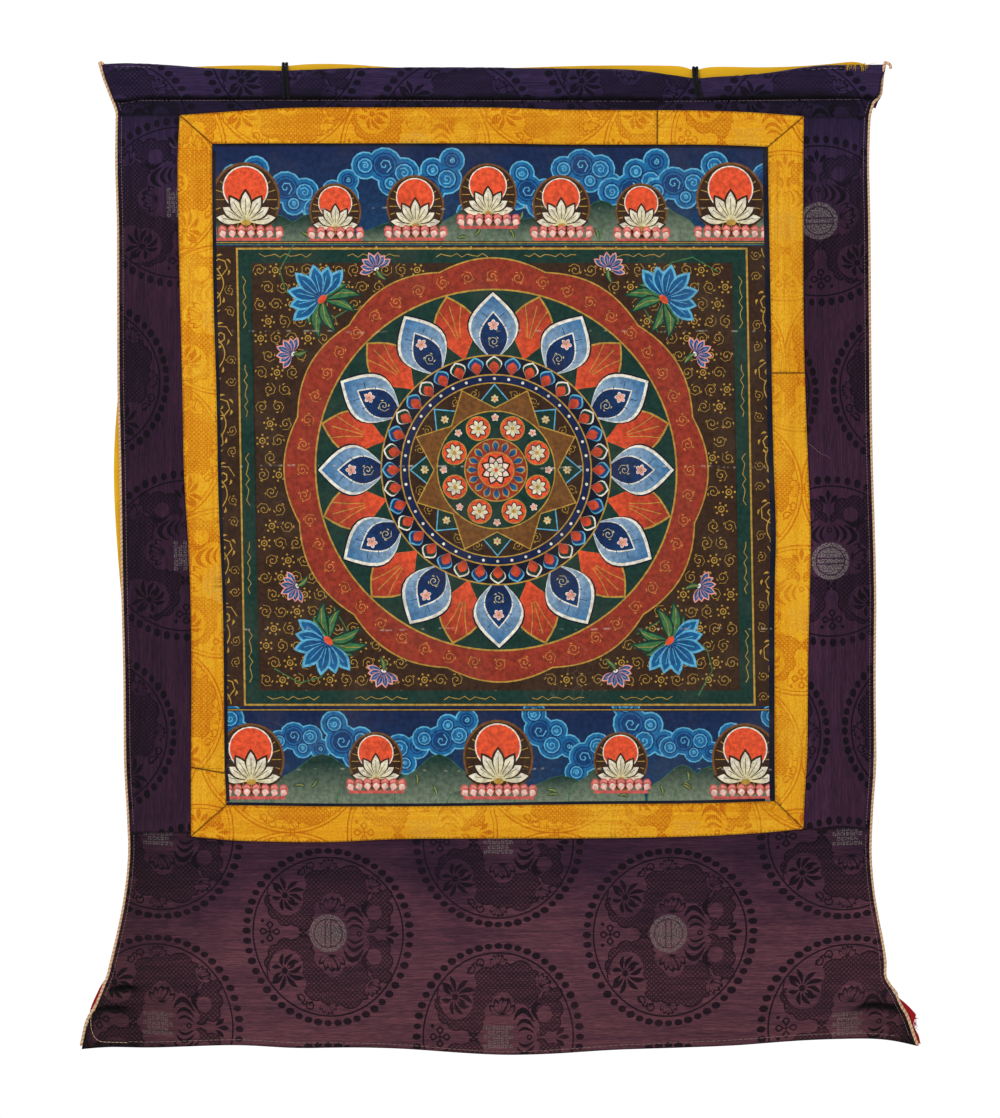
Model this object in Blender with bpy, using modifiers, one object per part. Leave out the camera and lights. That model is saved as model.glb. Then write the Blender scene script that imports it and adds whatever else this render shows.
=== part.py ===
"""Thangka scroll painting: a painted panel in a pieced gold frame, mounted on plum brocade with a rod pocket.

It hangs in the XZ plane and faces -Y, with its origin at the middle of the pocket's top fold.
Tables and sizes are in millimetres and are turned into metres when a mesh or a curve is made.
"""
import bisect
import math

import bmesh
import bpy
from mathutils import Vector

MM = 0.001

# Cloth and cord
SHEET = 1.0  # thickness of every cloth, with its weave and sizing
LAYER_GAP = 0.55  # air between two cloths that lie on each other
EDGE_GAP = 0.4  # air between two cloths that meet edge to edge
PIPING_RADIUS = 1.6
PIPING_GAP = 0.75  # air between the piping and the mount's cut edge
TIE_RADIUS = 1.2
CELL = 30.0  # longest side of a cloth's cells
NEAREST = 2.5  # a row's place is left out where it comes nearer than this to the end of a cloth

# The rod pocket and the seams of the mount
POCKET_HALF = 4.0  # half of the pocket's depth, between the middles of its two walls
POCKET_WAIST = -20.0  # height where the back wall starts to turn in to the stitch line
STITCH_LINE = -30.0
POCKET_HEM = -35.0  # lower end of the cloth that is folded to the back
TOP_SEAM = (-40.5, -42.0)  # height of the seam under the pocket, at its left and its right end
BOTTOM_SEAM = (-651.0, -646.5)

# Hidden allowances and the gold frame's piecing seams
PANEL_TUCK = 8.0  # how far the painted panel runs under the gold frame
MOUNT_TUCK = 6.0  # how far the side mounts run under it
LINING_INSET = 2.4  # from the piping's middle to the lining's edge
MITRE_GAP = 0.3
TOP_PIECING = 139.5
LEFT_PIECING = -599.8  # at the strip's inner edge
RIGHT_PIECING = -260.0
PIECING_SLANT = 5.0  # rise of the left strip's seam towards its outer edge
GOLD_ROWS = 2  # cells across a gold strip
VEIL_SWING = -90.0  # height where the silk, hanging from the pocket's back, comes to lie on the lining
VEIL_FOOT = -668.0
VEIL_RIPPLE = 3.0  # how far the silk's lower edge wanders up and down
VEIL_RIPPLE_REACH = 60.0

# Depth of the middle of each layer, from the pocket's middle; the viewer is at -Y
MOUNT_DEPTH = -POCKET_HALF
LAYER = SHEET + LAYER_GAP
GOLD_DEPTH = MOUNT_DEPTH - LAYER
LINING_DEPTH = MOUNT_DEPTH + LAYER
VEIL_DEPTH = LINING_DEPTH + LAYER
VEIL_TOP_DEPTH = POCKET_HALF + LAYER


class Table:
    """Rows of millimetres with named columns, the first of them the place; a smooth curve joins each column."""

    def __init__(self, columns, *rows):
        self.columns = columns.split()
        self.rows = sorted(rows)
        self.places = [row[0] for row in self.rows]

    def slope(self, index, column):
        """The curve's slope at a row: none at a turn, else the gentle mean of the slopes beside it."""
        if not 0 < index < len(self.rows) - 1:
            return self.rise(min(index, len(self.rows) - 2), column)
        before, after = self.rise(index - 1, column), self.rise(index, column)
        return 2 * before * after / (before + after) if before * after > 0 else 0.0

    def rise(self, index, column):
        low, high = self.rows[index], self.rows[index + 1]
        return (high[column] - low[column]) / (high[0] - low[0])

    def at(self, name, place):
        column = self.columns.index(name)
        index = min(max(bisect.bisect_right(self.places, place) - 1, 0), len(self.rows) - 2)
        low, high = self.rows[index], self.rows[index + 1]
        span = high[0] - low[0]
        t = (place - low[0]) / span
        if t < 0 or t > 1:
            end = index if t < 0 else index + 1
            return self.rows[end][column] + (place - self.rows[end][0]) * self.slope(end, column)
        first, last = self.slope(index, column) * span, self.slope(index + 1, column) * span
        return (
            low[column] * (1 + 2 * t) * (1 - t) ** 2 + first * t * (1 - t) ** 2
            + high[column] * (3 - 2 * t) * t ** 2 - last * (1 - t) * t ** 2
        )


# The middle of the piping down each side edge
SIDES = Table(
    "height left right",
    (3.0, -333.5, 330.0),
    (-9.0, -330.0, 328.0),
    (-23.5, -324.5, 326.5),
    (-31.0, -321.5, 322.5),
    (-39.0, -319.0, 320.0),
    (-47.0, -319.0, 319.0),
    (-79.0, -319.5, 318.0),
    (-130.0, -318.0, 319.0),
    (-266.0, -317.5, 320.0),
    (-334.0, -316.0, 321.0),
    (-402.0, -315.0, 323.0),
    (-453.0, -314.0, 324.0),
    (-521.0, -312.5, 323.5),
    (-589.0, -312.0, 324.0),
    (-627.0, -310.0, 321.5),
    (-665.5, -308.5, 320.0),
    (-703.5, -312.0, 323.0),
    (-742.0, -319.5, 330.0),
    (-759.0, -323.5, 332.5),
    (-771.5, -326.5, 332.5),
    (-779.0, -329.5, 336.0),
    (-786.0, -332.0, 341.5),
    (-791.0, -334.0, 342.8),
    (-798.0, -337.0, 346.5),
    (-804.5, -341.5, 350.5),
    (-812.5, -345.0, 353.5),
    (-821.5, -347.0, 356.5),
    (-831.0, -349.0, 360.0),
)

# The pocket's top fold, which a tie pulls down on the right
FOLD = Table(
    "across height",
    (-334.0, 2.5),
    (-313.0, 4.0),
    (-249.0, -0.5),
    (-180.0, -3.5),
    (-139.5, -1.5),
    (-92.5, 0.0),
    (0.0, 0.0),
    (75.0, -1.5),
    (118.0, -1.5),
    (142.0, -5.5),
    (172.0, -11.0),
    (210.0, -8.5),
    (234.5, -7.0),
    (251.5, -3.0),
    (279.5, 2.0),
    (332.5, 2.0),
)

# The bottom mount's hem
HEM = Table(
    "across height",
    (-349.5, -834.0),
    (-325.5, -831.5),
    (-300.0, -833.0),
    (-211.0, -830.5),
    (-172.5, -833.5),
    (-121.5, -832.5),
    (-70.5, -834.0),
    (6.0, -839.5),
    (57.0, -838.0),
    (95.0, -835.0),
    (210.0, -831.0),
    (261.0, -827.0),
    (335.0, -824.5),
    (350.0, -827.5),
    (360.5, -831.0),
)

# The gold frame's outer and inner edges
GOLD_TOP = Table(
    "across outer inner",
    (-266.0, -41.0, -66.5),
    (-223.5, -38.0, -65.0),
    (-164.0, -34.5, -65.0),
    (6.0, -34.5, -65.0),
    (57.0, -36.5, -66.0),
    (176.0, -37.0, -66.0),
    (235.5, -39.5, -68.0),
    (264.0, -42.0, -69.0),
)
GOLD_BOTTOM = Table(
    "across outer inner",
    (-256.5, -653.5, -627.0),
    (-215.0, -657.5, -627.0),
    (-138.5, -658.5, -628.0),
    (-82.5, -655.5, -628.0),
    (91.0, -655.0, -626.0),
    (169.0, -653.5, -625.5),
    (237.0, -650.0, -623.5),
    (263.5, -647.0, -623.0),
)
GOLD_SIDES = Table(
    "height left_outer left_inner right_inner right_outer",
    (-41.0, -266.0, -238.5, 233.5, 264.0),
    (-68.5, -268.0, -238.5, 233.5, 263.5),
    (-187.5, -266.0, -237.5, 235.5, 263.5),
    (-283.0, -263.5, -234.5, 237.0, 265.5),
    (-347.5, -262.5, -233.5, 238.5, 268.0),
    (-397.5, -259.0, -232.0, 240.5, 270.0),
    (-445.0, -257.0, -229.5, 239.0, 269.0),
    (-512.5, -256.0, -228.5, 239.0, 267.5),
    (-589.0, -256.5, -228.0, 239.0, 267.0),
    (-627.0, -256.5, -226.5, 239.5, 264.0),
    (-653.5, -256.5, -226.5, 239.5, 263.5),
)

# The silk cover's top edge, and its sides
VEIL_TOP = Table(
    "across height",
    (-317.0, -2.5),
    (-274.5, 0.0),
    (-233.0, 2.0),
    (-190.0, 2.5),
    (-177.0, 1.0),
    (-160.0, 3.8),
    (-121.5, 3.5),
    (-92.5, 0.5),
    (-36.5, -1.5),
    (20.5, 0.0),
    (89.0, 2.5),
    (150.5, 2.0),
    (162.0, 1.5),
    (172.0, -2.5),
    (184.0, 2.0),
    (223.5, 0.0),
    (266.0, 1.5),
    (294.0, 4.0),
    (307.0, 6.0),
    (317.0, 3.0),
)
VEIL_SIDES = Table(
    "height left right",
    (6.0, -317.0, 317.0),
    (-50.0, -314.0, 312.0),
    (-200.0, -313.5, 310.0),
    (-266.0, -316.0, 309.0),
    (-321.0, -321.0, 309.0),
    (-397.5, -319.0, 308.0),
    (-461.5, -316.0, 306.0),
    (-520.0, -309.0, 304.0),
    (VEIL_FOOT, -303.0, 300.0),
)

# How far the lining peeps out past the piping's middle near the lower corners; minus is inside
LINING_PEEP = Table(
    "height left right",
    (POCKET_HEM, -LINING_INSET, -LINING_INSET),
    (-764.0, -LINING_INSET, -LINING_INSET),
    (-773.0, 2.6, -LINING_INSET),
    (-787.0, 4.0, -LINING_INSET),
    (-791.0, 4.2, 3.5),
    (-797.0, 4.2, 6.0),
    (-804.0, 2.4, 8.0),
    (-813.0, -LINING_INSET, 6.0),
    (-823.0, -LINING_INSET, 5.5),
    (-840.0, -LINING_INSET, 1.0),
)
LINING_FLOOR = 2.5  # the lining's lower edge lies this far above the hem
PEEP_PUSH = 1.8  # the lining passes this much deeper behind the piping where it peeps out
PEEP_START = -735.0  # height where that begins, and how far down it takes to come about
PEEP_RUN = 30.0
PEEP_MARGIN = (12.0, 52.0)  # distances from the side edge between which it fades
PEEP_REST = 0.25  # the share of it that is left across the middle

# Soft bulges of the hanging cloth: where, how wide and high, and how far forward
BULGES = (
    # across, height, half width, half height, forward
    (-345.0, -838.0, 80.0, 68.0, 4.0),
    (355.0, -835.0, 75.0, 65.0, 4.5),
    (-250.0, -775.0, 60.0, 90.0, -2.2),
    (-120.0, -800.0, 65.0, 90.0, 2.2),
    (10.0, -820.0, 70.0, 85.0, -2.2),
    (135.0, -790.0, 65.0, 95.0, 2.6),
    (262.0, -775.0, 60.0, 90.0, -2.0),
    (-305.0, -620.0, 65.0, 120.0, -1.5),
    (305.0, -640.0, 65.0, 110.0, 1.6),
    (-40.0, -330.0, 160.0, 170.0, 2.6),
    (170.0, -520.0, 110.0, 120.0, -1.6),
    (-190.0, -150.0, 95.0, 110.0, -1.5),
    (300.0, -420.0, 65.0, 95.0, 1.5),
    (-315.0, -380.0, 60.0, 95.0, 1.2),
)
HELD_FLAT = (-30.0, -110.0)  # heights between which the pocket's hold on the cloth lets go

# A tie's route over the pocket: each height is measured from the fold below it or from the silk's top edge
TIE_FRONT = MOUNT_DEPTH - 2.1
TIE_BACK = VEIL_TOP_DEPTH + 2.1
TIE_OVER_FOLD = (
    # depth, height
    (TIE_FRONT, -4.0),
    (-5.4, -0.8),
    (-3.1, 1.7),
    (0.0, 2.6),
)
TIE_OVER_SILK = (
    (3.0, -1.0),
    (3.8, 1.8),
    (5.5, 2.6),
    (7.2, 1.8),
    (TIE_BACK, -1.5),
)
TIE_ENDS = (-26.5, -27.5)  # heights of its front and its back end
TIES = (
    # name, across at the fold, sideways slant of its front run
    ("tie_left", -177.0, 1.5),
    ("tie_right", 172.0, 3.5),
)

COLOURS = {
    # name: (red, green, blue), roughness
    "painted canvas": ((0.045, 0.050, 0.045), 0.75),
    "gold brocade": ((0.620, 0.300, 0.030), 0.45),
    "plum brocade": ((0.034, 0.018, 0.040), 0.60),
    "red lining": ((0.330, 0.012, 0.018), 0.85),
    "yellow silk": ((0.700, 0.360, 0.015), 0.50),
    "piping": ((0.600, 0.330, 0.180), 0.75),
    "dark cord": ((0.012, 0.012, 0.014), 0.80),
}


def mix(first, last, share):
    return first + (last - first) * share


def smooth_step(value):
    value = min(max(value, 0.0), 1.0)
    return value * value * (3 - 2 * value)


def stations(start, end, step=CELL, through=()):
    """Places from start to end, through the given ones, with no interval longer than step."""
    low, high = min(start, end), max(start, end)
    margin = NEAREST
    knots = [low] + sorted(p for p in through if low + margin < p < high - margin) + [high]
    places = [low]
    for here, there in zip(knots, knots[1:]):
        count = max(1, math.ceil((there - here) / step - 0.15))
        places += [mix(here, there, (n + 1) / count) for n in range(count)]
    return places if start < end else places[::-1]


def bulge(across, height):
    """Depth that the soft bulges add to a hanging cloth; minus is towards the viewer."""
    total = 0.0
    for middle_x, middle_z, half_x, half_z, forward in BULGES:
        reach = ((across - middle_x) / half_x) ** 2 + ((height - middle_z) / half_z) ** 2
        total -= forward * math.exp(-reach)
    return total * smooth_step((HELD_FLAT[0] - height) / (HELD_FLAT[0] - HELD_FLAT[1]))


def seam(ends, across):
    return mix(ends[0], ends[1], (across - SIDES.rows[0][1]) / (SIDES.rows[0][2] - SIDES.rows[0][1]))


def lean(side, height):
    """How much longer a sideways step is than the square distance to a side edge that leans here."""
    slope = (SIDES.at(side, height + 1.0) - SIDES.at(side, height - 1.0)) / 2
    return math.hypot(1.0, slope)


def mount_edges(height):
    """The mount's left and right cut edges, just inside the piping."""
    inset = PIPING_RADIUS + PIPING_GAP
    return (
        SIDES.at("left", height) + inset * lean("left", height),
        SIDES.at("right", height) - inset * lean("right", height),
    )


def clear_scene():
    for thing in list(bpy.data.objects):
        bpy.data.objects.remove(thing)


def make_materials():
    made = {}
    for name, (colour, roughness) in COLOURS.items():
        material = bpy.data.materials.new(name)
        material.use_nodes = True
        shader = material.node_tree.nodes["Principled BSDF"]
        shader.inputs["Base Color"].default_value = (*colour, 1.0)
        shader.inputs["Roughness"].default_value = roughness
        shader.inputs["Metallic"].default_value = 0.0
        material.diffuse_color = (*colour, 1.0)
        made[name] = material
    return made


def add_cloth(name, material, columns, rows, place):
    """A cloth of columns by rows of cells: each corner goes to place(column, row), then all get a thickness."""
    sheet = bmesh.new()
    bmesh.ops.create_grid(sheet, x_segments=columns, y_segments=rows, size=0.5)
    for corner in sheet.verts:
        column, row = round((corner.co.x + 0.5) * columns), round((corner.co.y + 0.5) * rows)
        corner.co = Vector(place(column, row)) * MM
    mesh = bpy.data.meshes.new(name)
    sheet.to_mesh(mesh)
    sheet.free()
    mesh.materials.append(material)
    cloth = bpy.data.objects.new(name, mesh)
    parts.objects.link(cloth)
    thicken = cloth.modifiers.new("thickness", "SOLIDIFY")
    thicken.thickness = SHEET * MM
    thicken.offset = 0.0
    thicken.use_even_offset = True
    return cloth


def add_cord(name, material, radius, points):
    curve = bpy.data.curves.new(name, "CURVE")
    curve.dimensions = "3D"
    curve.bevel_depth = radius * MM
    curve.bevel_resolution = 2
    curve.use_fill_caps = True
    spline = curve.splines.new("POLY")
    spline.points.add(len(points) - 1)
    for knot, point in zip(spline.points, points):
        knot.co = (*(Vector(point) * MM), 1.0)
    curve.materials.append(material)
    cord = bpy.data.objects.new(name, curve)
    parts.objects.link(cord)
    return cord


def add_panel(name, material, depth, widths, heights, top, bottom, left, right):
    """A four-sided hanging cloth between four edge curves, with widths and heights as shares of it."""
    def place(column, row):
        u, v = widths[column], heights[row]
        guess = mix(bottom(0.0), top(0.0), v)
        across = mix(left(guess), right(guess), u)
        height = mix(bottom(across), top(across), v)
        across = mix(left(height), right(height), u)
        return across, depth(across, height) + bulge(across, height), height

    return add_cloth(name, material, len(widths) - 1, len(heights) - 1, place)


def even(count):
    return [n / count for n in range(count + 1)]


def shares(places):
    return [(place - places[0]) / (places[-1] - places[0]) for place in places]


def flat_at(depth):
    return lambda across, height: depth


def add_painted_panel(material):
    add_panel(
        "painted_panel", material, flat_at(MOUNT_DEPTH), even(14), even(16),
        top=lambda x: GOLD_TOP.at("inner", x) + PANEL_TUCK,
        bottom=lambda x: GOLD_BOTTOM.at("inner", x) - PANEL_TUCK,
        left=lambda z: GOLD_SIDES.at("left_inner", z) - PANEL_TUCK,
        right=lambda z: GOLD_SIDES.at("right_inner", z) + PANEL_TUCK,
    )


def add_side_mounts(material):
    """Each side strip runs from the top seam to the bottom seam, its inner edge under the gold frame."""
    for name, side, outer_name, tuck in (
        ("mount_left", 0, "left_outer", MOUNT_TUCK),
        ("mount_right", 1, "right_outer", -MOUNT_TUCK),
    ):
        top = TOP_SEAM[side] - EDGE_GAP
        bottom = BOTTOM_SEAM[side] + EDGE_GAP
        outer = lambda z, side=side: mount_edges(z)[side]
        inner = lambda z, key=outer_name, tuck=tuck: GOLD_SIDES.at(key, z) + tuck
        left, right = (outer, inner) if side == 0 else (inner, outer)
        add_panel(
            name, material, flat_at(MOUNT_DEPTH), even(3), shares(stations(bottom, top, through=SIDES.places)),
            top=lambda x: seam(TOP_SEAM, x) - EDGE_GAP,
            bottom=lambda x: seam(BOTTOM_SEAM, x) + EDGE_GAP,
            left=left, right=right,
        )


def add_bottom_mount(material):
    """The wide lower panel, whose sides flare out to its two corners."""
    low, high = HEM.at("height", 0.0), seam(BOTTOM_SEAM, 0.0)
    heights = shares(stations(low, high, step=26.0, through=SIDES.places))
    widths = shares(stations(-349.0, 360.0, step=36.0, through=HEM.places[2:-2]))
    add_panel(
        "mount_bottom", material, flat_at(MOUNT_DEPTH), widths, heights,
        top=lambda x: seam(BOTTOM_SEAM, x),
        bottom=lambda x: HEM.at("height", x),
        left=lambda z: mount_edges(z)[0],
        right=lambda z: mount_edges(z)[1],
    )


def add_top_mount(material):
    """The top strip: up from the seam, over the fold as a loose pocket and down its back to the hem."""
    widths = stations(FOLD.places[0], FOLD.places[-1], step=40.0, through=FOLD.places)
    arc = [math.pi * share for share in even(5)]

    def profile(across):
        seam_height, fold = seam(TOP_SEAM, across), FOLD.at("height", across)
        shoulder = fold - POCKET_HALF
        front = [(MOUNT_DEPTH, mix(seam_height, shoulder, share)) for share in even(5)[:-1]]
        over = [(-POCKET_HALF * math.cos(a), shoulder + POCKET_HALF * math.sin(a)) for a in arc]
        turn_in = [
            (mix(POCKET_HALF, LINING_DEPTH, smooth_step(t)), mix(POCKET_WAIST, STITCH_LINE, t))
            for t in (0.0, 0.3, 0.55, 0.8, 1.0)
        ]
        return front + over + turn_in + [(LINING_DEPTH, POCKET_HEM)]

    def place(column, row):
        share = (widths[column] - widths[0]) / (widths[-1] - widths[0])
        depth, height = profile(widths[column])[row]
        left, right = mount_edges(height)
        across = mix(left, right, share)
        return across, depth + bulge(across, height), height

    add_cloth("mount_top", material, len(widths) - 1, len(profile(0.0)) - 1, place)


def add_gold_frame(material):
    """Seven strips: mitred at the corners, and pieced once on the top and on both sides."""
    def corner(side, edge):
        """The outer and the inner corner between a side strip and the top or the bottom one."""
        meeting = GOLD_SIDES.at(side + "_outer", edge.places[0])
        places = []
        for line in ("outer", "inner"):
            height = edge.at(line, meeting)
            meeting = GOLD_SIDES.at(f"{side}_{line}", height)
            places.append((meeting, edge.at(line, meeting)))
        return places

    def strip(name, start, end, axis, outer_at, inner_at):
        """A strip from one cut to the next; start and end are the places of its outer and its inner edge."""
        along = even(max(3, round(abs(end[0] - start[0]) / CELL)))
        gap = math.copysign(MITRE_GAP, end[0] - start[0])

        def place(column, row):
            outer, inner = [
                mix(first + gap, last - gap, along[column]) for first, last in zip(start, end)
            ]
            ends = Vector((outer, outer_at(outer))), Vector((inner, inner_at(inner)))
            point = ends[0].lerp(ends[1], row / GOLD_ROWS)
            across, height = point if axis == "across" else point.yx
            return across, GOLD_DEPTH + bulge(across, height), height

        add_cloth(name, material, len(along) - 1, GOLD_ROWS, place)

    def edge_pair(table, prefix=""):
        return lambda p: table.at(prefix + "outer", p), lambda p: table.at(prefix + "inner", p)

    ends = {
        (side, level): corner(side, table)
        for side in ("left", "right") for level, table in (("top", GOLD_TOP), ("bottom", GOLD_BOTTOM))
    }
    acrosses = {key: [point[0] for point in pair] for key, pair in ends.items()}
    heights = {key: [point[1] for point in pair] for key, pair in ends.items()}
    top_cut = (TOP_PIECING, TOP_PIECING)
    left_cut = (LEFT_PIECING + PIECING_SLANT, LEFT_PIECING)
    right_cut = (RIGHT_PIECING, RIGHT_PIECING)
    top, bottom = edge_pair(GOLD_TOP), edge_pair(GOLD_BOTTOM)
    left, right = edge_pair(GOLD_SIDES, "left_"), edge_pair(GOLD_SIDES, "right_")
    strip("gold_top_left", acrosses["left", "top"], top_cut, "across", *top)
    strip("gold_top_right", top_cut, acrosses["right", "top"], "across", *top)
    strip("gold_bottom", acrosses["left", "bottom"], acrosses["right", "bottom"], "across", *bottom)
    strip("gold_left_upper", heights["left", "top"], left_cut, "height", *left)
    strip("gold_left_lower", left_cut, heights["left", "bottom"], "height", *left)
    strip("gold_right_upper", heights["right", "top"], right_cut, "height", *right)
    strip("gold_right_lower", right_cut, heights["right", "bottom"], "height", *right)


def add_lining(material):
    """The plain backing, which passes deeper behind the piping where it peeps out at the lower corners."""
    def depth(across, height):
        edge = abs(SIDES.at("left" if across < 0 else "right", height))
        full, none = PEEP_MARGIN
        share = mix(PEEP_REST, 1.0, smooth_step((none - edge + abs(across)) / (none - full)))
        return LINING_DEPTH + PEEP_PUSH * share * smooth_step((PEEP_START - height) / PEEP_RUN)

    low, high = HEM.at("height", 0.0) + LINING_FLOOR, POCKET_HEM - EDGE_GAP
    rows = stations(low, high, step=38.0, through=LINING_PEEP.places)
    widths = [0.0, 0.017] + [mix(0.05, 0.95, share) for share in even(14)] + [0.983, 1.0]
    add_panel(
        "lining", material, depth, widths, shares(rows),
        top=lambda x: high,
        bottom=lambda x: HEM.at("height", x) + LINING_FLOOR,
        left=lambda z: SIDES.at("left", z) - LINING_PEEP.at("left", z) * lean("left", z),
        right=lambda z: SIDES.at("right", z) + LINING_PEEP.at("right", z) * lean("right", z),
    )


def add_veil(material):
    """The silk cover: it hangs from the pocket's back wall and comes to lie on the lining."""
    def depth(across, height):
        return mix(VEIL_DEPTH, VEIL_TOP_DEPTH, smooth_step((height - VEIL_SWING) / (POCKET_WAIST - VEIL_SWING)))

    rows = stations(VEIL_FOOT, VEIL_SWING, step=75.0) + stations(VEIL_SWING, 0.0, step=24.0)[2:]
    add_panel(
        "veil", material, depth, shares(VEIL_TOP.places), shares(rows),
        top=lambda x: VEIL_TOP.at("height", x),
        bottom=lambda x: VEIL_FOOT + VEIL_RIPPLE * math.sin(x / VEIL_RIPPLE_REACH),
        left=lambda z: VEIL_SIDES.at("left", z),
        right=lambda z: VEIL_SIDES.at("right", z),
    )


def add_piping(material):
    heights = stations(SIDES.places[0], SIDES.places[-1], step=28.0, through=SIDES.places)
    for side in ("left", "right"):
        points = []
        for height in heights:
            across = SIDES.at(side, height)
            points.append((across, MOUNT_DEPTH + bulge(across, height), height))
        add_cord("piping_" + side, material, PIPING_RADIUS, points)


def add_ties(material):
    """Each tie starts at the stitch line, goes up over the pocket and the silk, and comes down behind them."""
    front_end, back_end = TIE_ENDS
    for name, across, slant in TIES:
        fold, silk = FOLD.at("height", across), VEIL_TOP.at("height", across)
        over = [(depth, fold + height) for depth, height in TIE_OVER_FOLD]
        over += [(depth, silk + height) for depth, height in TIE_OVER_SILK]
        up = [(TIE_FRONT, mix(front_end, over[0][1], share)) for share in (0.0, 0.33, 0.67)]
        down = [(TIE_BACK, mix(over[-1][1], back_end, share)) for share in (0.33, 0.67, 1.0)]
        points = []
        for depth, height in up + over + down:
            drop = (fold - height) / (fold - front_end)
            points.append((across + slant * max(drop, 0.0), depth, height))
        add_cord(name, material, TIE_RADIUS, points)


clear_scene()
parts = bpy.data.collections.new("thangka scroll painting")
bpy.context.scene.collection.children.link(parts)
materials = make_materials()
add_painted_panel(materials["painted canvas"])
add_gold_frame(materials["gold brocade"])
add_top_mount(materials["plum brocade"])
add_side_mounts(materials["plum brocade"])
add_bottom_mount(materials["plum brocade"])
add_lining(materials["red lining"])
add_veil(materials["yellow silk"])
add_piping(materials["piping"])
add_ties(materials["dark cord"])
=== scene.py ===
"""Thangka scroll painting: the looks of its cloth, paint and cords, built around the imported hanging.

It hangs in the XZ plane and faces -Y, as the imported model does. A flat drawing is in millimetres, and
a point of it is a complex number: the place across plus the height times i.
"""

import cmath
import math
import random

import bmesh
import bpy
from bpy.props import FloatProperty, FloatVectorProperty, IntProperty, PointerProperty
from mathutils import Matrix, Vector, noise
from mathutils.bvhtree import BVHTree
from mathutils.geometry import barycentric_transform, delaunay_2d_cdt
from mathutils.kdtree import KDTree


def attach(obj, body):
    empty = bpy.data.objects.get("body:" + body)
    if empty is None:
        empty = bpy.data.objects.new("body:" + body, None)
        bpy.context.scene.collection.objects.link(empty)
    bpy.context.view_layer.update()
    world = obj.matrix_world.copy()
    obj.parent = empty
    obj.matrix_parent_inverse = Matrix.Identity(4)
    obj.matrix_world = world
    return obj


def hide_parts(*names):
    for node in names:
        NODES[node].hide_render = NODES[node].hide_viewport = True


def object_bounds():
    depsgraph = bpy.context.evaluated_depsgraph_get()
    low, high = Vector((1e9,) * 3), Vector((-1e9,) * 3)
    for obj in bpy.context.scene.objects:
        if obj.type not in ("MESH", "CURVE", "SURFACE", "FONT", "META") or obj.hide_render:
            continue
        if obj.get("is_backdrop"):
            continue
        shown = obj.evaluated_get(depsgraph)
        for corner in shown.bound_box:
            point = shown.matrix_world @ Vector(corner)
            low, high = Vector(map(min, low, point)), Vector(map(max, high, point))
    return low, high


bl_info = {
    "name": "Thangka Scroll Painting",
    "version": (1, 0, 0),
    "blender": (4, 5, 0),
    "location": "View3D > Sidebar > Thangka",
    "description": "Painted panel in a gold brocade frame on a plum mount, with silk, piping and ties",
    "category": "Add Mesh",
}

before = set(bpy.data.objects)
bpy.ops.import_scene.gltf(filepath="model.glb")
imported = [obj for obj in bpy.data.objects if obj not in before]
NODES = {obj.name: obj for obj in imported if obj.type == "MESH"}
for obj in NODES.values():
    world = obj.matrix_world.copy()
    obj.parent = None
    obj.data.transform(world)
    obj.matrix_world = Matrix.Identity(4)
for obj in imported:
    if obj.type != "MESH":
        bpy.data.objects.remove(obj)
CAD_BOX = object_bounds()

MM = 0.001


def ink(red, green, blue):
    """A colour given as it looks on screen, in steps of 255, as Blender's linear values."""
    return tuple(
        part / 255 / 12.92 if part <= 10 else ((part / 255 + 0.055) / 1.055) ** 2.4
        for part in (red, green, blue)
    )


def shade_of(name, colour, note):
    default = ink(*colour)
    return FloatVectorProperty(name=name, description=note, default=default, subtype="COLOR", min=0, max=1)


def length_of(name, millimetres, note):
    return FloatProperty(name=name, description=note, default=millimetres * MM, unit="LENGTH", precision=4)


class ThangkaSizes(bpy.types.PropertyGroup):
    """Sizes that set how fine the cloth, the threads and the woven roundels are."""

    cloth: length_of("Cloth", 1.0, "Thickness of the sewn cloths")
    silk: length_of("Silk", 0.4, "Thickness of the thin cover")
    cell: length_of("Cell", 4.0, "Size of the front's mesh cells")
    back_cell: length_of("Back cell", 12.0, "Size of the mesh cells on a cloth's hidden side")
    roundel: length_of("Roundel", 65.0, "Radius of the line round a woven roundel")
    roundel_dots: IntProperty(name="Dots", description="Dots round a woven roundel", default=52, min=8)
    thread: length_of("Thread", 0.7, "From one thread of the weave to the next")
    diaper: length_of("Diaper", 3.9, "Width of a diamond of the woven diaper ground")
    piping_twist: length_of("Piping twist", 3.6, "Length in which the piping's strands go once round")
    stitch: length_of("Stitch", 3.0, "Length of one topstitch")
    stitch_gap: length_of("Stitch gap", 1.7, "From the end of one topstitch to the next one")


class ThangkaColours(bpy.types.PropertyGroup):
    """Colours of the cloths and the cords."""

    plum: shade_of("Plum", (45, 33, 68), "Brocade near the top, where it has kept its colour")
    plum_side: shade_of("Side plum", (50, 28, 49), "Brocade beside the painting, a little redder")
    plum_faded: shade_of("Faded plum", (90, 55, 68), "Brocade near the foot")
    gold: shade_of("Gold", (255, 188, 32), "Gold brocade's ground")
    silver: shade_of("Silver", (140, 134, 128), "Metal thread of the small medallions")
    lining: shade_of("Lining", (168, 18, 30), "Backing cloth")
    silk: shade_of("Silk", (252, 192, 20), "Cover of thin silk")
    cream: shade_of("Cream strand", (238, 208, 170), "Lighter strand of the piping")
    rust: shade_of("Rust strand", (216, 148, 108), "Darker strand of the piping")
    cord: shade_of("Cord", (22, 21, 26), "Ties")
    thread: shade_of("Thread", (164, 136, 128), "Topstitching")
    floor: shade_of("Floor", (236, 235, 232), "Floor")


def sizes():
    return bpy.context.scene.thangka_sizes


def colours():
    return bpy.context.scene.thangka_colours


def mix(first, last, share):
    return first + (last - first) * share


def smooth_step(value):
    value = min(max(value, 0.0), 1.0)
    return value * value * (3 - 2 * value)


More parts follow.
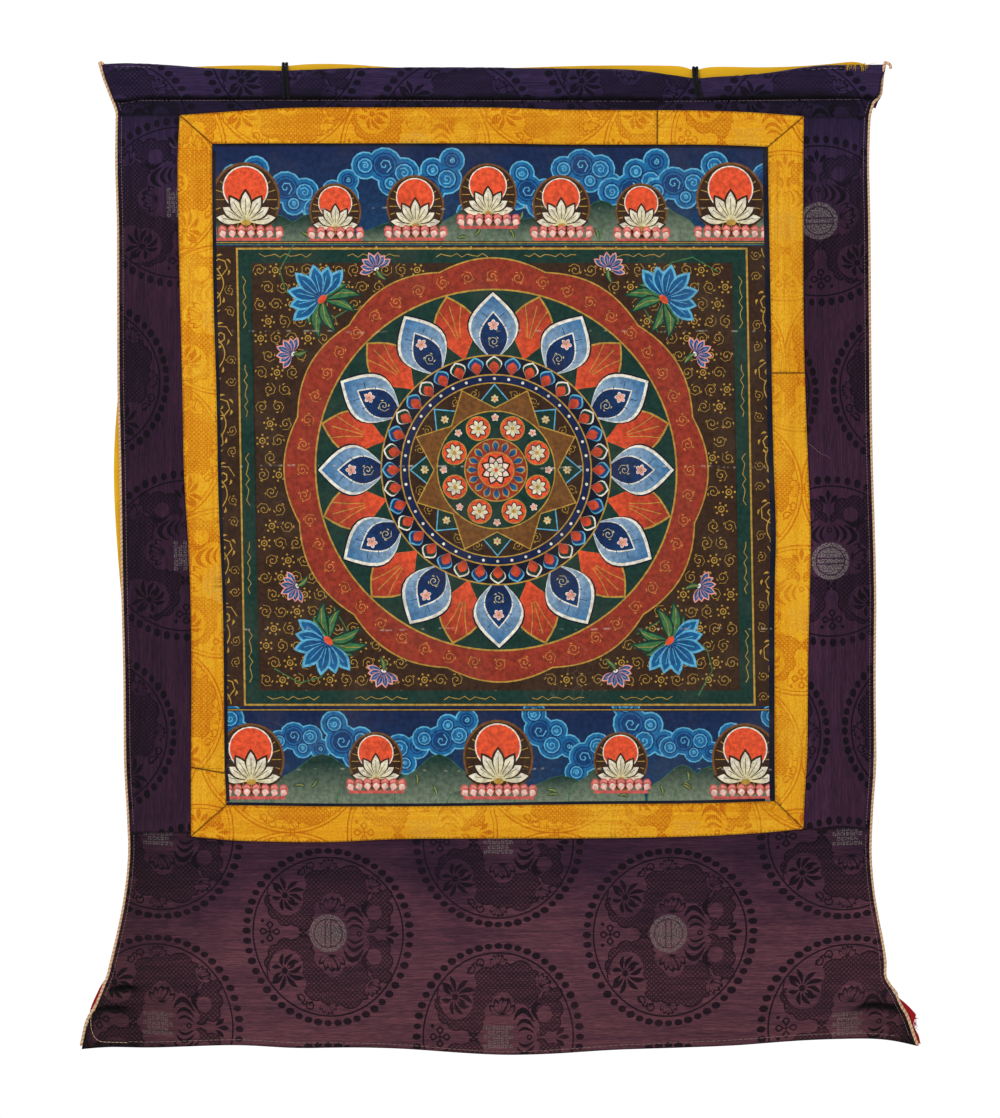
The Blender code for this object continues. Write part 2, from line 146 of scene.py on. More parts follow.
def bump(distance, width):
    """A soft bell, 1 at no distance and nothing past its width."""
    return smooth_step(1 - abs(distance) / width)


def polar(radius, degrees):
    return cmath.rect(radius, math.radians(degrees))


def rough_at(*place):
    """Smooth noise at a place, which is given in the noise's own scale."""
    return noise.noise(Vector(place))


def put(name, data):
    """Puts a mesh, a lamp or a camera in the scene."""
    thing = bpy.data.objects.new(name, data)
    bpy.context.scene.collection.objects.link(thing)
    return thing


# ---------- shader nodes


class Nodes:
    """A node tree in the making. Any input takes a number, a colour or the output of another node."""

    def __init__(self, tree):
        self.tree = tree

    def feed(self, socket, value):
        if isinstance(value, bpy.types.NodeSocket):
            self.tree.links.new(value, socket)
        elif isinstance(value, (int, float)):
            socket.default_value = value
        else:
            value = tuple(value)
            socket.default_value = value + (1.0,) if socket.type == "RGBA" and len(value) == 3 else value

    def add(self, kind, feeds=None, output=0, **settings):
        node = self.tree.nodes.new("ShaderNode" + kind)
        for key, value in settings.items():
            setattr(node, key, value)
        for key, value in (feeds or {}).items():
            self.feed(node.inputs[key], value)
        return node.outputs[output]

    def math(self, operation, *values):
        return self.add("Math", dict(enumerate(values)), operation=operation)

    def times(self, first, *others):
        for other in others:
            first = self.math("MULTIPLY", first, other)
        return first

    def plus(self, first, last):
        return self.math("ADD", first, last)

    def over(self, first, last):
        return self.math("DIVIDE", first, last)

    def scale_add(self, value, factor, term):
        return self.math("MULTIPLY_ADD", value, factor, term)

    def ramp(self, value, low, high, first=0.0, last=1.0):
        feeds = {"Value": value, "From Min": low, "From Max": high, "To Min": first, "To Max": last}
        return self.add("MapRange", feeds, interpolation_type="SMOOTHSTEP")

    def mix(self, share, first, last, blend="MIX"):
        return self.add("Mix", {0: share, 6: first, 7: last}, 2, data_type="RGBA", blend_type=blend)

    def tint(self, colour, factors):
        return self.mix(1.0, colour, factors, "MULTIPLY")

    def noise(self, place, scale, detail=2.0, roughness=0.5):
        feeds = {"Vector": place, "Scale": scale, "Detail": detail, "Roughness": roughness}
        return self.add("TexNoise", feeds)

    def stretched_noise(self, place, scales, detail, roughness=0.5):
        place = self.add("Mapping", {"Vector": place, "Scale": scales})
        return self.noise(place, 1.0, detail, roughness)

    def place(self):
        return self.add("TexCoord", output="Object")

    def axes(self, vector):
        return self.add("SeparateXYZ", {0: vector}).node.outputs

    def group(self, name, **feeds):
        """A shared effect with the given inputs: its outputs."""
        node = self.tree.nodes.new("ShaderNodeGroup")
        node.node_tree = GROUPS[name]()
        for key, value in feeds.items():
            self.feed(node.inputs[key], value)
        return node.outputs

    def mask(self, name, **feeds):
        return self.group(name, **feeds)["Mask"]


GROUPS = {}


def shared_effect(name, inputs, outputs):
    """Marks a function that builds a node group once; it gets the group's inputs and returns its outputs."""
    def keep(build):
        def make():
            tree = bpy.data.node_groups.get(name)
            if tree is None:
                tree = bpy.data.node_groups.new(name, "ShaderNodeTree")
                for label, value in inputs.items():
                    kind = "Float" if isinstance(value, float) else "Vector"
                    socket = tree.interface.new_socket(label, in_out="INPUT", socket_type="NodeSocket" + kind)
                    if kind == "Float":
                        socket.default_value = value
                for label in outputs:
                    tree.interface.new_socket(label, in_out="OUTPUT", socket_type="NodeSocketFloat")
                entry = tree.nodes.new("NodeGroupInput").outputs
                leave = tree.nodes.new("NodeGroupOutput").inputs
                for socket, result in zip(leave, build(Nodes(tree), entry)):
                    tree.links.new(result, socket)
            return tree
        GROUPS[name] = make
        return build
    return keep


RIB_PITCH = 0.0016  # metres from one satin rib to the next


@shared_effect("weave", {"Vector": None, "Pitch": 0.0007, "Slub": 0.4}, ("Height", "Ribs"))
def weave(nodes, inputs):
    """Plain weave, with some thicker threads; and the ribs of a satin figure, across the weft."""
    turn = nodes.over(math.tau, inputs["Pitch"])
    wander = nodes.noise(inputs["Vector"], 60.0, 1.0)
    swing = nodes.times(wander, 2.0)
    axes = nodes.axes(inputs["Vector"])
    waves = [nodes.math("SINE", nodes.scale_add(axes[axis], turn, swing)) for axis in "XZ"]
    slub = nodes.stretched_noise(inputs["Vector"], (60, 60, 1400), 1.0)
    height = nodes.plus(nodes.times(*waves, 0.35), nodes.times(slub, inputs["Slub"]))
    rib_turn = nodes.scale_add(axes["X"], math.tau / RIB_PITCH, nodes.times(wander, 7.0))
    return height, nodes.scale_add(nodes.math("SINE", rib_turn), 0.5, 0.5)


@shared_effect("streaks", {"Vector": None, "Length": 0.07, "Width": 0.0009}, ("Mask",))
def streaks(nodes, inputs):
    """Uneven dye and wear that runs along the threads, as long bands and as fine lines."""
    axes = nodes.axes(inputs["Vector"])
    total = None
    for stretch, spread, share in ((1.6, 1.3, 0.4), (0.8, 0.3, 0.25), (0.3, 0.05, 0.35)):
        along = nodes.over(nodes.times(axes["X"], stretch), inputs["Length"])
        across = nodes.over(nodes.times(axes["Z"], spread), inputs["Width"])
        place = nodes.add("CombineXYZ", {"X": along, "Y": 7.0 * share, "Z": across})
        layer = nodes.times(nodes.noise(place, 1.0, 2.0, 0.6), share)
        total = nodes.plus(total, layer) if total else layer
    return (nodes.ramp(total, 0.36, 0.64),)


@shared_effect("blotches", {"Vector": None, "Size": 0.05, "Low": 0.45, "High": 0.7}, ("Mask",))
def blotches(nodes, inputs):
    """Soft patches of dust, fading or wear."""
    cloud = nodes.noise(inputs["Vector"], nodes.over(1.0, inputs["Size"]), 4.0, 0.6)
    return (nodes.ramp(cloud, inputs["Low"], inputs["High"]),)


@shared_effect("diaper", {"Vector": None, "Pitch": 0.0039}, ("Mask",))
def diaper(nodes, inputs):
    """A dark ground crossed by thin lines into small diamonds, each with a pale dot."""
    axes = nodes.axes(inputs["Vector"])
    turn = nodes.over(math.tau, inputs["Pitch"])
    waves = [nodes.math("COSINE", nodes.times(axes[axis], turn)) for axis in "XZ"]
    both = nodes.math("ABSOLUTE", nodes.plus(*waves))
    return (nodes.times(nodes.ramp(both, 0.22, 0.6), nodes.ramp(both, 1.6, 1.85, 1.0, 0.35)),)


def new_material(name, **constants):
    """A material with its shader, whose constant values are set on the shader's own sockets."""
    material = bpy.data.materials.new(name)
    material.use_nodes = True
    shader = material.node_tree.nodes["Principled BSDF"]
    for key, value in constants.items():
        socket = shader.inputs[key.replace("_", " ")]
        socket.default_value = (*value, 1.0) if socket.type == "RGBA" else value
    nodes = Nodes(material.node_tree)
    return material, nodes, shader.inputs, nodes.place()


def finish_with(nodes, shader, colour, roughness, height, strength, distance):
    nodes.feed(shader["Base Color"], colour)
    feeds = {"Height": height, "Strength": strength, "Distance": distance}
    nodes.feed(shader["Normal"], nodes.add("Bump", feeds))
    nodes.feed(shader["Roughness"], roughness)


def make_brocade(
    name, turned, ground_of, figure_tint, wear, rib_share, grain_size, grain_tint, roughness, silver, relief
):
    """Figured silk: satin figures, diaper ground and metal thread, as the cloth's own drawing says, under the
    painted shade in the drawing's alpha.
    """
    material, nodes, shader, place = new_material(
        name, Specular_IOR_Level=0.1, Sheen_Weight=0.02, Sheen_Roughness=0.45, Sheen_Tint=(0.9, 0.85, 0.9)
    )
    threads = place
    if turned:
        threads = nodes.add("Mapping", {"Vector": place, "Rotation": (0, math.pi / 2, 0)})
    pattern = nodes.add("Attribute", attribute_name="pattern")
    marks = nodes.add("SeparateColor", {0: pattern}).node.outputs
    ragged = nodes.scale_add(nodes.noise(place, 1300.0, 1.0), 0.4, 0.8)
    woven = nodes.group("weave", Vector=threads, Pitch=sizes().thread, Slub=0.5)
    streak = nodes.mask("streaks", Vector=threads)
    net = nodes.mask("diaper", Vector=place, Pitch=sizes().diaper)
    worn = nodes.mask("blotches", Vector=place, Size=0.07, Low=0.4, High=0.72)
    figure = nodes.math("MAXIMUM", marks["Red"], nodes.times(marks["Green"], net))
    ribs = nodes.ramp(woven["Ribs"], 0.0, 1.0, 1.0 - rib_share, 1.0)
    figure = nodes.times(figure, ragged, ribs, nodes.ramp(worn, 0.0, 1.0, 1.0, wear))
    ground = ground_of(nodes, place, streak, worn)
    grain = nodes.ramp(nodes.stretched_noise(threads, grain_size, 2.0, 0.7), 0.38, 0.64)
    ground = nodes.mix(grain, ground, nodes.tint(ground, grain_tint))
    colour = nodes.mix(figure, ground, nodes.tint(ground, figure_tint))
    hatch = nodes.ramp(nodes.stretched_noise(threads, (800, 1, 1200), 1.0), 0.44, 0.58)
    colour = nodes.mix(nodes.times(marks["Blue"], hatch, silver), colour, colours().silver)
    # The drawing's alpha scales the colour: painted shade at cloth edges, in folds and by the rod pocket, and
    # a lighter tone low on the mount's right strip.
    colour = nodes.tint(colour, pattern.node.outputs["Alpha"])
    height = nodes.plus(woven["Height"], nodes.times(figure, 0.5))
    finish_with(nodes, shader, colour, nodes.scale_add(figure, -0.12, roughness), height, relief, 0.0003)
    return material


def plum_ground(nodes, place, streak, worn):
    """Plum at the top, redder at the sides, and browner and paler towards the foot, along its threads."""
    height = nodes.axes(place)["Z"]
    sway = nodes.scale_add(worn, 0.05, height)
    ground = nodes.mix(nodes.ramp(height, -0.03, -0.16), colours().plum, colours().plum_side)
    ground = nodes.mix(nodes.ramp(sway, -0.62, -0.77), ground, colours().plum_faded)
    return nodes.mix(streak, nodes.tint(ground, (0.5, 0.5, 0.58)), nodes.tint(ground, (1.02, 0.98, 0.92)))


def gold_ground(nodes, place, streak, worn):
    """Yellow gold with paler rubbed patches and fine lines of thread."""
    rubbed = tuple(part * fade for part, fade in zip(colours().gold, (1.0, 1.1, 1.8)))
    ground = nodes.mix(worn, colours().gold, rubbed)
    return nodes.mix(streak, nodes.tint(ground, (0.92, 0.82, 0.55)), nodes.tint(ground, (1.12, 1.2, 1.7)))


PLUM = dict(
    ground_of=plum_ground, figure_tint=(0.06, 0.05, 0.13), wear=0.85, rib_share=0.12, roughness=0.62,
    grain_size=(110, 110, 1900), grain_tint=(1.95, 1.8, 1.62), silver=0.62, relief=0.6,
)
GOLD = dict(
    ground_of=gold_ground, figure_tint=(0.7, 0.36, 0.06), wear=0.35, rib_share=0.45, roughness=0.5,
    grain_size=(620, 620, 1000), grain_tint=(0.88, 0.66, 0.32), silver=0.2, relief=1.0,
)
# Old fold lines across the painting: height in metres, how much they show
PANEL_CREASES = ((-0.3365, 0.75), (-0.2215, 0.4), (-0.4745, 0.5), (-0.5935, 0.4), (-0.117, 0.5))


def make_canvas(name):
    """Painted cloth: the drawing's own colours with rubs, dust and cracks, over a fine canvas."""
    material, nodes, shader, place = new_material(name, Specular_IOR_Level=0.12)
    paint = nodes.add("Attribute", attribute_name="pattern")
    woven = nodes.group("weave", Vector=place, Pitch=0.0008, Slub=0.2)
    worn = nodes.mask("blotches", Vector=place, Size=0.045, Low=0.42, High=0.75)
    dabs = nodes.noise(place, 260.0, 3.0, 0.65)
    thin, thick = nodes.tint(paint, (0.72, 0.72, 0.76)), nodes.tint(paint, (1.3, 1.3, 1.3))
    colour = nodes.mix(nodes.ramp(dabs, 0.3, 0.7), thin, thick)
    colour = nodes.mix(nodes.times(worn, 0.1), colour, ink(120, 105, 85))
    feeds = {"Vector": place, "Scale": 95.0, "Randomness": 1.0}
    flake_lines = nodes.ramp(nodes.add("TexVoronoi", feeds, feature="DISTANCE_TO_EDGE"), 0.0, 0.018, 1.0, 0.0)
    where = nodes.mask("blotches", Vector=place, Size=0.11, Low=0.6, High=0.72)
    cracks = nodes.times(flake_lines, where, 0.35)
    colour = nodes.mix(cracks, colour, ink(150, 140, 120))
    level = nodes.plus(nodes.axes(place)["Z"], nodes.times(nodes.noise(place, 14.0, 2.0), 0.006))
    scuffs = nodes.ramp(nodes.stretched_noise(place, (160, 1, 60), 3.0), 0.53, 0.66)
    for crease, depth in PANEL_CREASES:
        away = nodes.math("ABSOLUTE", nodes.math("SUBTRACT", level, crease))
        line = nodes.ramp(away, 0.0002, 0.0011, depth, 0.0)
        colour = nodes.mix(nodes.times(line, scuffs), colour, ink(205, 196, 178))
        cracks = nodes.plus(cracks, nodes.times(line, 0.4))
    height = nodes.plus(nodes.times(woven["Height"], 0.5), nodes.times(cracks, -1.5))
    finish_with(nodes, shader, colour, nodes.scale_add(dabs, 0.2, 0.55), height, 0.3, 0.0002)
    return material


def make_plain_cloth(name, colour, pitch, roughness, sheen, streak_length):
    """Plain cloth of one dye: its weave shows with uneven threads and a few rubbed patches."""
    material, nodes, shader, place = new_material(
        name, Specular_IOR_Level=0.2, Sheen_Weight=sheen, Sheen_Roughness=0.4, Sheen_Tint=(1.0, 0.9, 0.8)
    )
    woven = nodes.group("weave", Vector=place, Pitch=pitch, Slub=0.6)
    streak = nodes.mask("streaks", Vector=place, Length=streak_length, Width=0.0006)
    worn = nodes.mask("blotches", Vector=place, Size=0.06)
    tone = nodes.mix(streak, dyed(colour, 0.9), dyed(colour, 1.06))
    tone = nodes.mix(nodes.times(worn, 0.2), tone, dyed(colour, 0.65))
    rough = nodes.ramp(streak, 0, 1, roughness, roughness + 0.1)
    finish_with(nodes, shader, tone, rough, woven["Height"], 0.3, 0.0002)
    return material


def dyed(colour, strength):
    return tuple(min(part * strength, 1.0) for part in colour)


def make_strand(name, colour, roughness=0.8):
    """Spun thread: fine fibres along it, with a little soil."""
    material, nodes, shader, place = new_material(
        name, Specular_IOR_Level=0.15, Sheen_Weight=0.05, Sheen_Roughness=0.5
    )
    fibres = nodes.stretched_noise(place, (2600, 2600, 700), 2.0, 0.6)
    soil = nodes.mask("blotches", Vector=place, Size=0.02)
    tone = nodes.mix(nodes.ramp(fibres, 0.3, 0.7), dyed(colour, 0.62), dyed(colour, 1.15))
    tone = nodes.mix(nodes.times(soil, 0.3), tone, dyed(colour, 0.6))
    rough = nodes.ramp(fibres, 0.0, 1.0, roughness - 0.08, roughness + 0.08)
    finish_with(nodes, shader, tone, rough, fibres, 0.5, 0.0003)
    return material


def make_floor(name):
    """Smooth pale floor with soft specks."""
    material, nodes, shader, place = new_material(name, Specular_IOR_Level=0.2)
    speck = nodes.noise(place, 9.0, 3.0)
    tone = nodes.mix(speck, dyed(colours().floor, 0.98), colours().floor)
    finish_with(nodes, shader, tone, nodes.ramp(speck, 0.0, 1.0, 0.7, 0.8), speck, 0.05, 0.001)
    return material


MAKERS = {
    "plum brocade": lambda name: make_brocade(name, False, **PLUM),
    "plum brocade turned": lambda name: make_brocade(name, True, **PLUM),
    "gold brocade": lambda name: make_brocade(name, False, **GOLD),
    "gold brocade turned": lambda name: make_brocade(name, True, **GOLD),
    "painted canvas": make_canvas,
    "red lining": lambda name: make_plain_cloth(name, colours().lining, 0.0008, 0.8, 0.1, 0.1),
    "yellow silk": lambda name: make_plain_cloth(name, colours().silk, 0.0005, 0.42, 0.2, 0.25),
    "cream strand": lambda name: make_strand(name, colours().cream),
    "rust strand": lambda name: make_strand(name, colours().rust),
    "dark cord": lambda name: make_strand(name, colours().cord, 0.75),
    "stitching": lambda name: make_strand(name, colours().thread),
    "plum stitching": lambda name: make_strand(name, ink(150, 122, 134)),
    "dark thread": lambda name: make_strand(name, ink(120, 74, 22)),
    "red thread": lambda name: make_strand(name, ink(190, 24, 34), 0.85),
    "silk thread": lambda name: make_strand(name, colours().silk, 0.6),
    "floor": make_floor,
}


def material_named(name):
    return bpy.data.materials.get(name) or MAKERS[name](name)


# ---------- flat drawings


def circle(radius, count, squash=1.0):
    return [complex(radius * math.cos(math.tau * n / count), radius * squash * math.sin(math.tau * n / count))
            for n in range(count)]


def rectangle(low, high):
    return [low, complex(high.real, low.imag), high, complex(low.real, high.imag)]


def moved(points, place=0j, turn=0.0, scale=1.0):
    spin = polar(scale, turn)
    return [place + spin * point for point in points]


def petal(length, width, belly=0.5, count=7, bend=0.0):
    """A pointed leaf from 0 along the real axis; belly says where it is widest, bend curls its tip."""
    power = math.log(0.5) / math.log(belly)
    up = []
    for n in range(1, count):
        t = n / count
        up.append((t, math.sin(math.pi * t ** power) * width / 2))
    edge = [0j] + [complex(t * length, w) for t, w in up] + [complex(length, 0)]
    edge += [complex(t * length, -w) for t, w in reversed(up)]
    return [point * cmath.rect(1, bend * point.real / length) for point in edge]


def ribbon(path, width, closed):
    """Four-cornered steps of a line along a path; width is a number or says it from the share of the way."""
    last = len(path) - 1
    pairs = []
    for n, point in enumerate(path):
        ahead = path[(n + 1) % len(path)] if closed or n < last else point
        behind = path[n - 1] if closed or n > 0 else point
        way = ahead - behind
        half = (width(n / last) if callable(width) else width) / 2
        side = way / abs(way) * 1j * half
        pairs.append((point + side, point - side))
    steps = zip(pairs, pairs[1:] + pairs[:1]) if closed else zip(pairs, pairs[1:])
    return [[a, b, d, c] for (a, b), (c, d) in steps]


def turning(points):
    """Twice the area inside a flat outline, minus when it runs clockwise."""
    return sum((a.conjugate() * b).imag for a, b in zip(points, points[1:] + points[:1]))


def spiral(start, end, turns, count):
    """A path that winds outwards from one radius to another."""
    return [cmath.rect(mix(start, end, n / count), math.tau * turns * n / count) for n in range(count + 1)]


def box_of(points):
    across, up = [point.real for point in points], [point.imag for point in points]
    return complex(min(across), min(up)), complex(max(across), max(up))


def overlap(one, other):
    """Whether two boxes share some room."""
    return all(gap.real > 0 and gap.imag > 0 for gap in (one[1] - other[0], other[1] - one[0]))


class Drawing:
    """Flat shapes, each over the ones before it. A shape's colour may shift to another along an axis."""

    def __init__(self):
        self.shapes = []

    def add(self, points, colour, other=None, axis=(0j, 1 + 0j)):
        self.shapes.append((points, colour, other or colour, axis))

    def dot(self, place, radius, count, colour, squash=1.0):
        self.add(moved(circle(radius, count, squash), place), colour)

    def leaf(self, shape, place, turn, *colours_):
        """A petal whose shape is its length, width and so on."""
        self.add(moved(petal(*shape), place, turn), *colours_)

    def stamp(self, motif, place=0j, turn=0.0, mirror=False):
        spin = polar(1.0, turn)

        def move(point):
            return place + spin * (point.conjugate() if mirror else point)

        for points, colour, other, axis in motif.shapes:
            self.shapes.append(([move(point) for point in points], colour, other, tuple(map(move, axis))))

    def line(self, path, width, colour, closed=False):
        for step in ribbon(path, width, closed):
            if turning(step[:3]) * turning([step[0], *step[2:]]) > 0:
                self.add(step, colour)

    def edged(self, points, colour, edge, width, other=None, axis=(0j, 1 + 0j)):
        """A shape with a line of another colour round it."""
        centre = sum(points) / len(points)
        span = sum(abs(point - centre) for point in points) / len(points)
        self.add([centre + (point - centre) * (1 + width / span) for point in points], edge)
        self.add(points, colour, other, axis)

    def bent(self, bend):
        """The same drawing with each of its points moved by a function."""
        result = Drawing()
        for points, colour, other, axis in self.shapes:
            result.add([bend(point) for point in points], colour, other, tuple(map(bend, axis)))
        return result


# A brocade's drawing has marks in place of colours: satin figure, diaper ground, metal thread
BARE, FIGURE, FIELD, METAL = (0, 0, 0), (1, 0, 0), (0, 1, 0), (0, 0, 1)

# Leaves of a spray: turn, length, bend
SPRAY_LEAVES = (
    (120, 16, 0.5), (91, 16.5, 0.4), (63, 17, -0.4), (35, 18.5, -0.5), (6, 16, -0.6), (-26, 13, -0.6),
    (-56, 15, 0.7), (-88, 15.5, 0.7), (-119, 14, 0.6), (-152, 12, -0.5), (153, 15, -0.5),
)
# Discs whose joined outline makes a cloud-edged field: across, up, radius
ROUNDEL_FIELDS = (
    (4, 45, 12), (19, 47, 11), (30, 42, 9), (-10, 42, 11), (8, 35, 12), (23, 34, 11), (-12, 31, 11),
    (-19, 22, 9), (-27, 14, 8), (-37, 13, 7), (-45, 18, 6.5), (-49, 26, 5.5), (-21, 10, 7), (45, 31, 6.5),
    (49, 22, 6.5), (47, 12, 6.5), (39, 24, 6), (51, 34, 4), (37, 7, 5),
)
# Round patches without diaper: under the sprays, the shells and the lotus buds
ROUNDEL_PATCHES = (
    (-36, 29, 14.5), (-41, 40, 11), (-30, 41, 11), (4, 25, 10), (-4, 20, 8), (13, 18, 9),
    (24, 13, 8.5), (20, 20, 6.5), (30, 8, 6), (41, 44, 8.5), (40, 18.5, 6.5),
)
# Crescents of the shell beside the badge: start, middle, end, width
SHELL = (
    (13.5 + 13.5j, 21.5 + 21.5j, 31 + 12.5j, 4.2),
    (16 + 8.5j, 23 + 13.6j, 31.5 + 7j, 3.0),
    (17.5 + 4.2j, 23.5 + 7.4j, 31 + 3.4j, 2.2),
    (37.5 + 26.5j, 30.5 + 22.5j, 35.5 + 13j, 4.0),
)
SPRAY_PLACE, SPRAY_RING = -37.5 + 31.5j, 15.5
DOT_WIDE, DOT_HIGH = 3.6, 2.7
DOT_RING = 5.7  # from a roundel's line to the middle of its dots
ROUNDEL_WIDE, ROUNDEL_HIGH = 0.98, 0.99  # the weave draws a roundel out a little along the warp
ROUNDEL_REACH = 11.0  # how far a roundel goes past its line


def leaf_spray():
    """Curved leaves that spring from one point, like a fan."""
    spray = Drawing()
    for turn, length, bend in SPRAY_LEAVES:
        spray.leaf((length - 2.4, 3.9, 0.6, 8, bend), polar(2.4, turn), turn - 12 * bend, FIGURE)
    spray.add(circle(2.7, 9), FIGURE)
    return spray


def flower(length, width, hollow):
    """Four petals round a small disc, perhaps hollow ones."""
    bloom = Drawing()
    for turn in (0, 90, 180, 270):
        bloom.leaf((length, width, 0.62, 6), polar(1.0, turn), turn, FIGURE)
        if hollow:
            inner = (length * hollow, width * hollow, 0.6, 5)
            bloom.leaf(inner, (1.0 + length * 0.3) * polar(1, turn), turn, BARE)
    bloom.add(circle(1.4, 8), FIGURE)
    return bloom


def bud(size):
    """A lotus in outline, its petals opening upwards."""
    flower_bud = Drawing()
    for turn in (14, 166, 42, 138, 68, 112, 90):
        shape = petal(size, size * 0.4, 0.62, 7, 0.4 if turn < 90 else -0.4)
        flower_bud.add(moved(shape, turn=turn), FIGURE)
        flower_bud.add(moved(shape, polar(size * 0.14, turn), turn, 0.7), BARE)
    return flower_bud


def crescent(start, middle, end, width):
    """A line through three points that swells in its middle."""
    arc = Drawing()
    path = []
    for n in range(11):
        t = n / 10
        path.append(start * (1 - t) * (1 - 2 * t) + middle * 4 * t * (1 - t) + end * t * (2 * t - 1))
    arc.line(path, lambda t: 0.4 + width * math.sin(math.pi * t) ** 0.8, FIGURE)
    return arc


def medallion(kind):
    """A round or a square badge of metal thread, with plain bars in it."""
    badge = Drawing()

    def bar(place, wide, high, mark):
        badge.add(moved(rectangle(complex(-wide, -high), complex(wide, high)), place), mark)

    if kind == "round":
        for radius, count, mark in ((16.2, 32, METAL), (12.8, 28, BARE), (11.7, 28, METAL)):
            badge.add(circle(radius, count), mark)
        for across in (-2.4, 2.4):
            bar(across, 0.6, 11.9, BARE)
        return badge
    for column in range(-3, 4):
        for row in range(-2, 3):
            if abs(column) < 3 or row % 2 == 0:
                place = complex(column * 3.7, row * 4.0)
                bar(place, 1.5, 1.6, METAL)
                bar(place, *((0.95, 0.3), (0.3, 0.95))[(column + row) % 2], BARE)
    return badge


def half_roundel():
    """What the two halves of a roundel share, the second one mirrored."""
    half = Drawing()
    half.line(moved(circle(SPRAY_RING, 30), SPRAY_PLACE), 1.0, FIGURE, closed=True)
    for x, y, size in ROUNDEL_PATCHES:
        half.dot(complex(x, y), size, 18, BARE)
    half.stamp(leaf_spray(), SPRAY_PLACE)
    half.stamp(bud(14.5), 3.5 + 17.5j)
    half.stamp(bud(9.5), 55j)
    half.stamp(bud(11), 36 + 39j, -42)
    for crescent_shape in SHELL:
        half.stamp(crescent(*crescent_shape))
    for turn, place in ((40, -24 + 52j), (190, -15 + 57j)):
        half.line(moved(spiral(1.0, 4.4, 1.1, 12), place, turn), 1.2, FIGURE)
    half.line([-27 + 49j, -21 + 57j, -13 + 54j], 1.2, FIGURE)
    half.leaf((10, 4.4, 0.6), 49.5 + 1.4j, 40, FIGURE)
    half.dot(-57 + 9j, 1.7, 7, FIGURE)
    return half


def roundel(kind, dotted):
    """One woven roundel: a line and dots, or two lines, round diaper, sprays, flowers and a small badge."""
    motif = Drawing()
    radius = sizes().roundel / MM
    motif.add(circle(radius, 60), BARE)
    for grow, mark in ((1.0, FIGURE), (0.0, FIELD)):
        for flip in (1, -1):
            for x, y, size in ROUNDEL_FIELDS:
                motif.dot(complex(x, y * flip), size + grow, 20, mark)
    for flip in (False, True):
        motif.stamp(half_roundel(), mirror=flip)
    motif.line(circle(radius, 90), 1.4, FIGURE, closed=True)
    if dotted:
        dots = sizes().roundel_dots
        for n in range(dots):
            grow = 1 + 0.08 * math.sin(2.2 * n)
            place = cmath.rect(radius + DOT_RING, math.tau * n / dots)
            motif.dot(place, DOT_WIDE * grow, 11, FIGURE, DOT_HIGH / DOT_WIDE)
    else:
        motif.line(circle(radius - 3.2, 80), 0.8, FIGURE, closed=True)
    motif.leaf((11, 4.2, 0.6), 51, 0, FIGURE)
    motif.dot(-50, 9.5, 18, BARE)
    motif.stamp(flower(8.2, 6.6, 0.5), -50.5)
    motif.stamp(flower(3.8, 3.6, 0.0), -21.5, 45)
    motif.dot(27, 2.5, 9, FIGURE)
    motif.dot(27, 1.3, 7, BARE)
    motif.add(circle(16.4, 28), BARE)
    motif.stamp(medallion(kind))
    return motif.bent(lambda point: complex(point.real * ROUNDEL_WIDE, point.imag * ROUNDEL_HIGH))


def flare(point):
    """How the foot's cloth is drawn out sideways and up towards its two corners, and sags between them."""
    across = point.real - 6
    out = (across / 295) ** 2
    sag = 7.6 * smooth_step((-745 - point.imag) / 70) * (1 - 0.64 * min(out, 1.4))
    return point + complex(7.5 * smooth_step((across - 150) / 145), 7.6 * out - sag)


def brocade_drawing(box, origin, turned, tilt, pitch, dotted):
    """Roundels over the cloth's box in staggered columns; a turned cloth was cut across the bolt."""
    drawing = Drawing()
    turn = tilt + (90 if turned else 0)
    reach = sizes().roundel / MM + ROUNDEL_REACH
    corner = complex(reach, reach)
    kinds = [roundel("square", dotted), roundel("round", dotted)]
    for column in range(-6, 7):
        for row in range(-7, 8):
            step = complex(column * pitch[0], (row + 0.5 * (column % 2)) * pitch[1])
            place = origin + polar(1, turn) * step
            if overlap((place - corner, place + corner), box):
                drawing.stamp(kinds[column % 2], place, turn)
    return drawing


# ---------- cloths

POCKET_RADIUS = 4.5 * MM
POCKET_FLAT = -19.0 * MM  # above this the pocket's two walls are upright
BACK_WALL = -3.0 * MM  # what lies behind this, below the pocket, is its folded back hem
WELD = 0.00002
RIM_ANGLE = math.radians(55)  # a cloth's cut edge turns away from its front by more than this
CORNER_ANGLE = math.radians(28)  # a rim that turns more than this has a corner there
SHARP_ANGLE = math.radians(50)  # past this an edge isn't shaded smooth
CUT_GAP = 0.0001  # points nearer than this become one when a cloth is cut


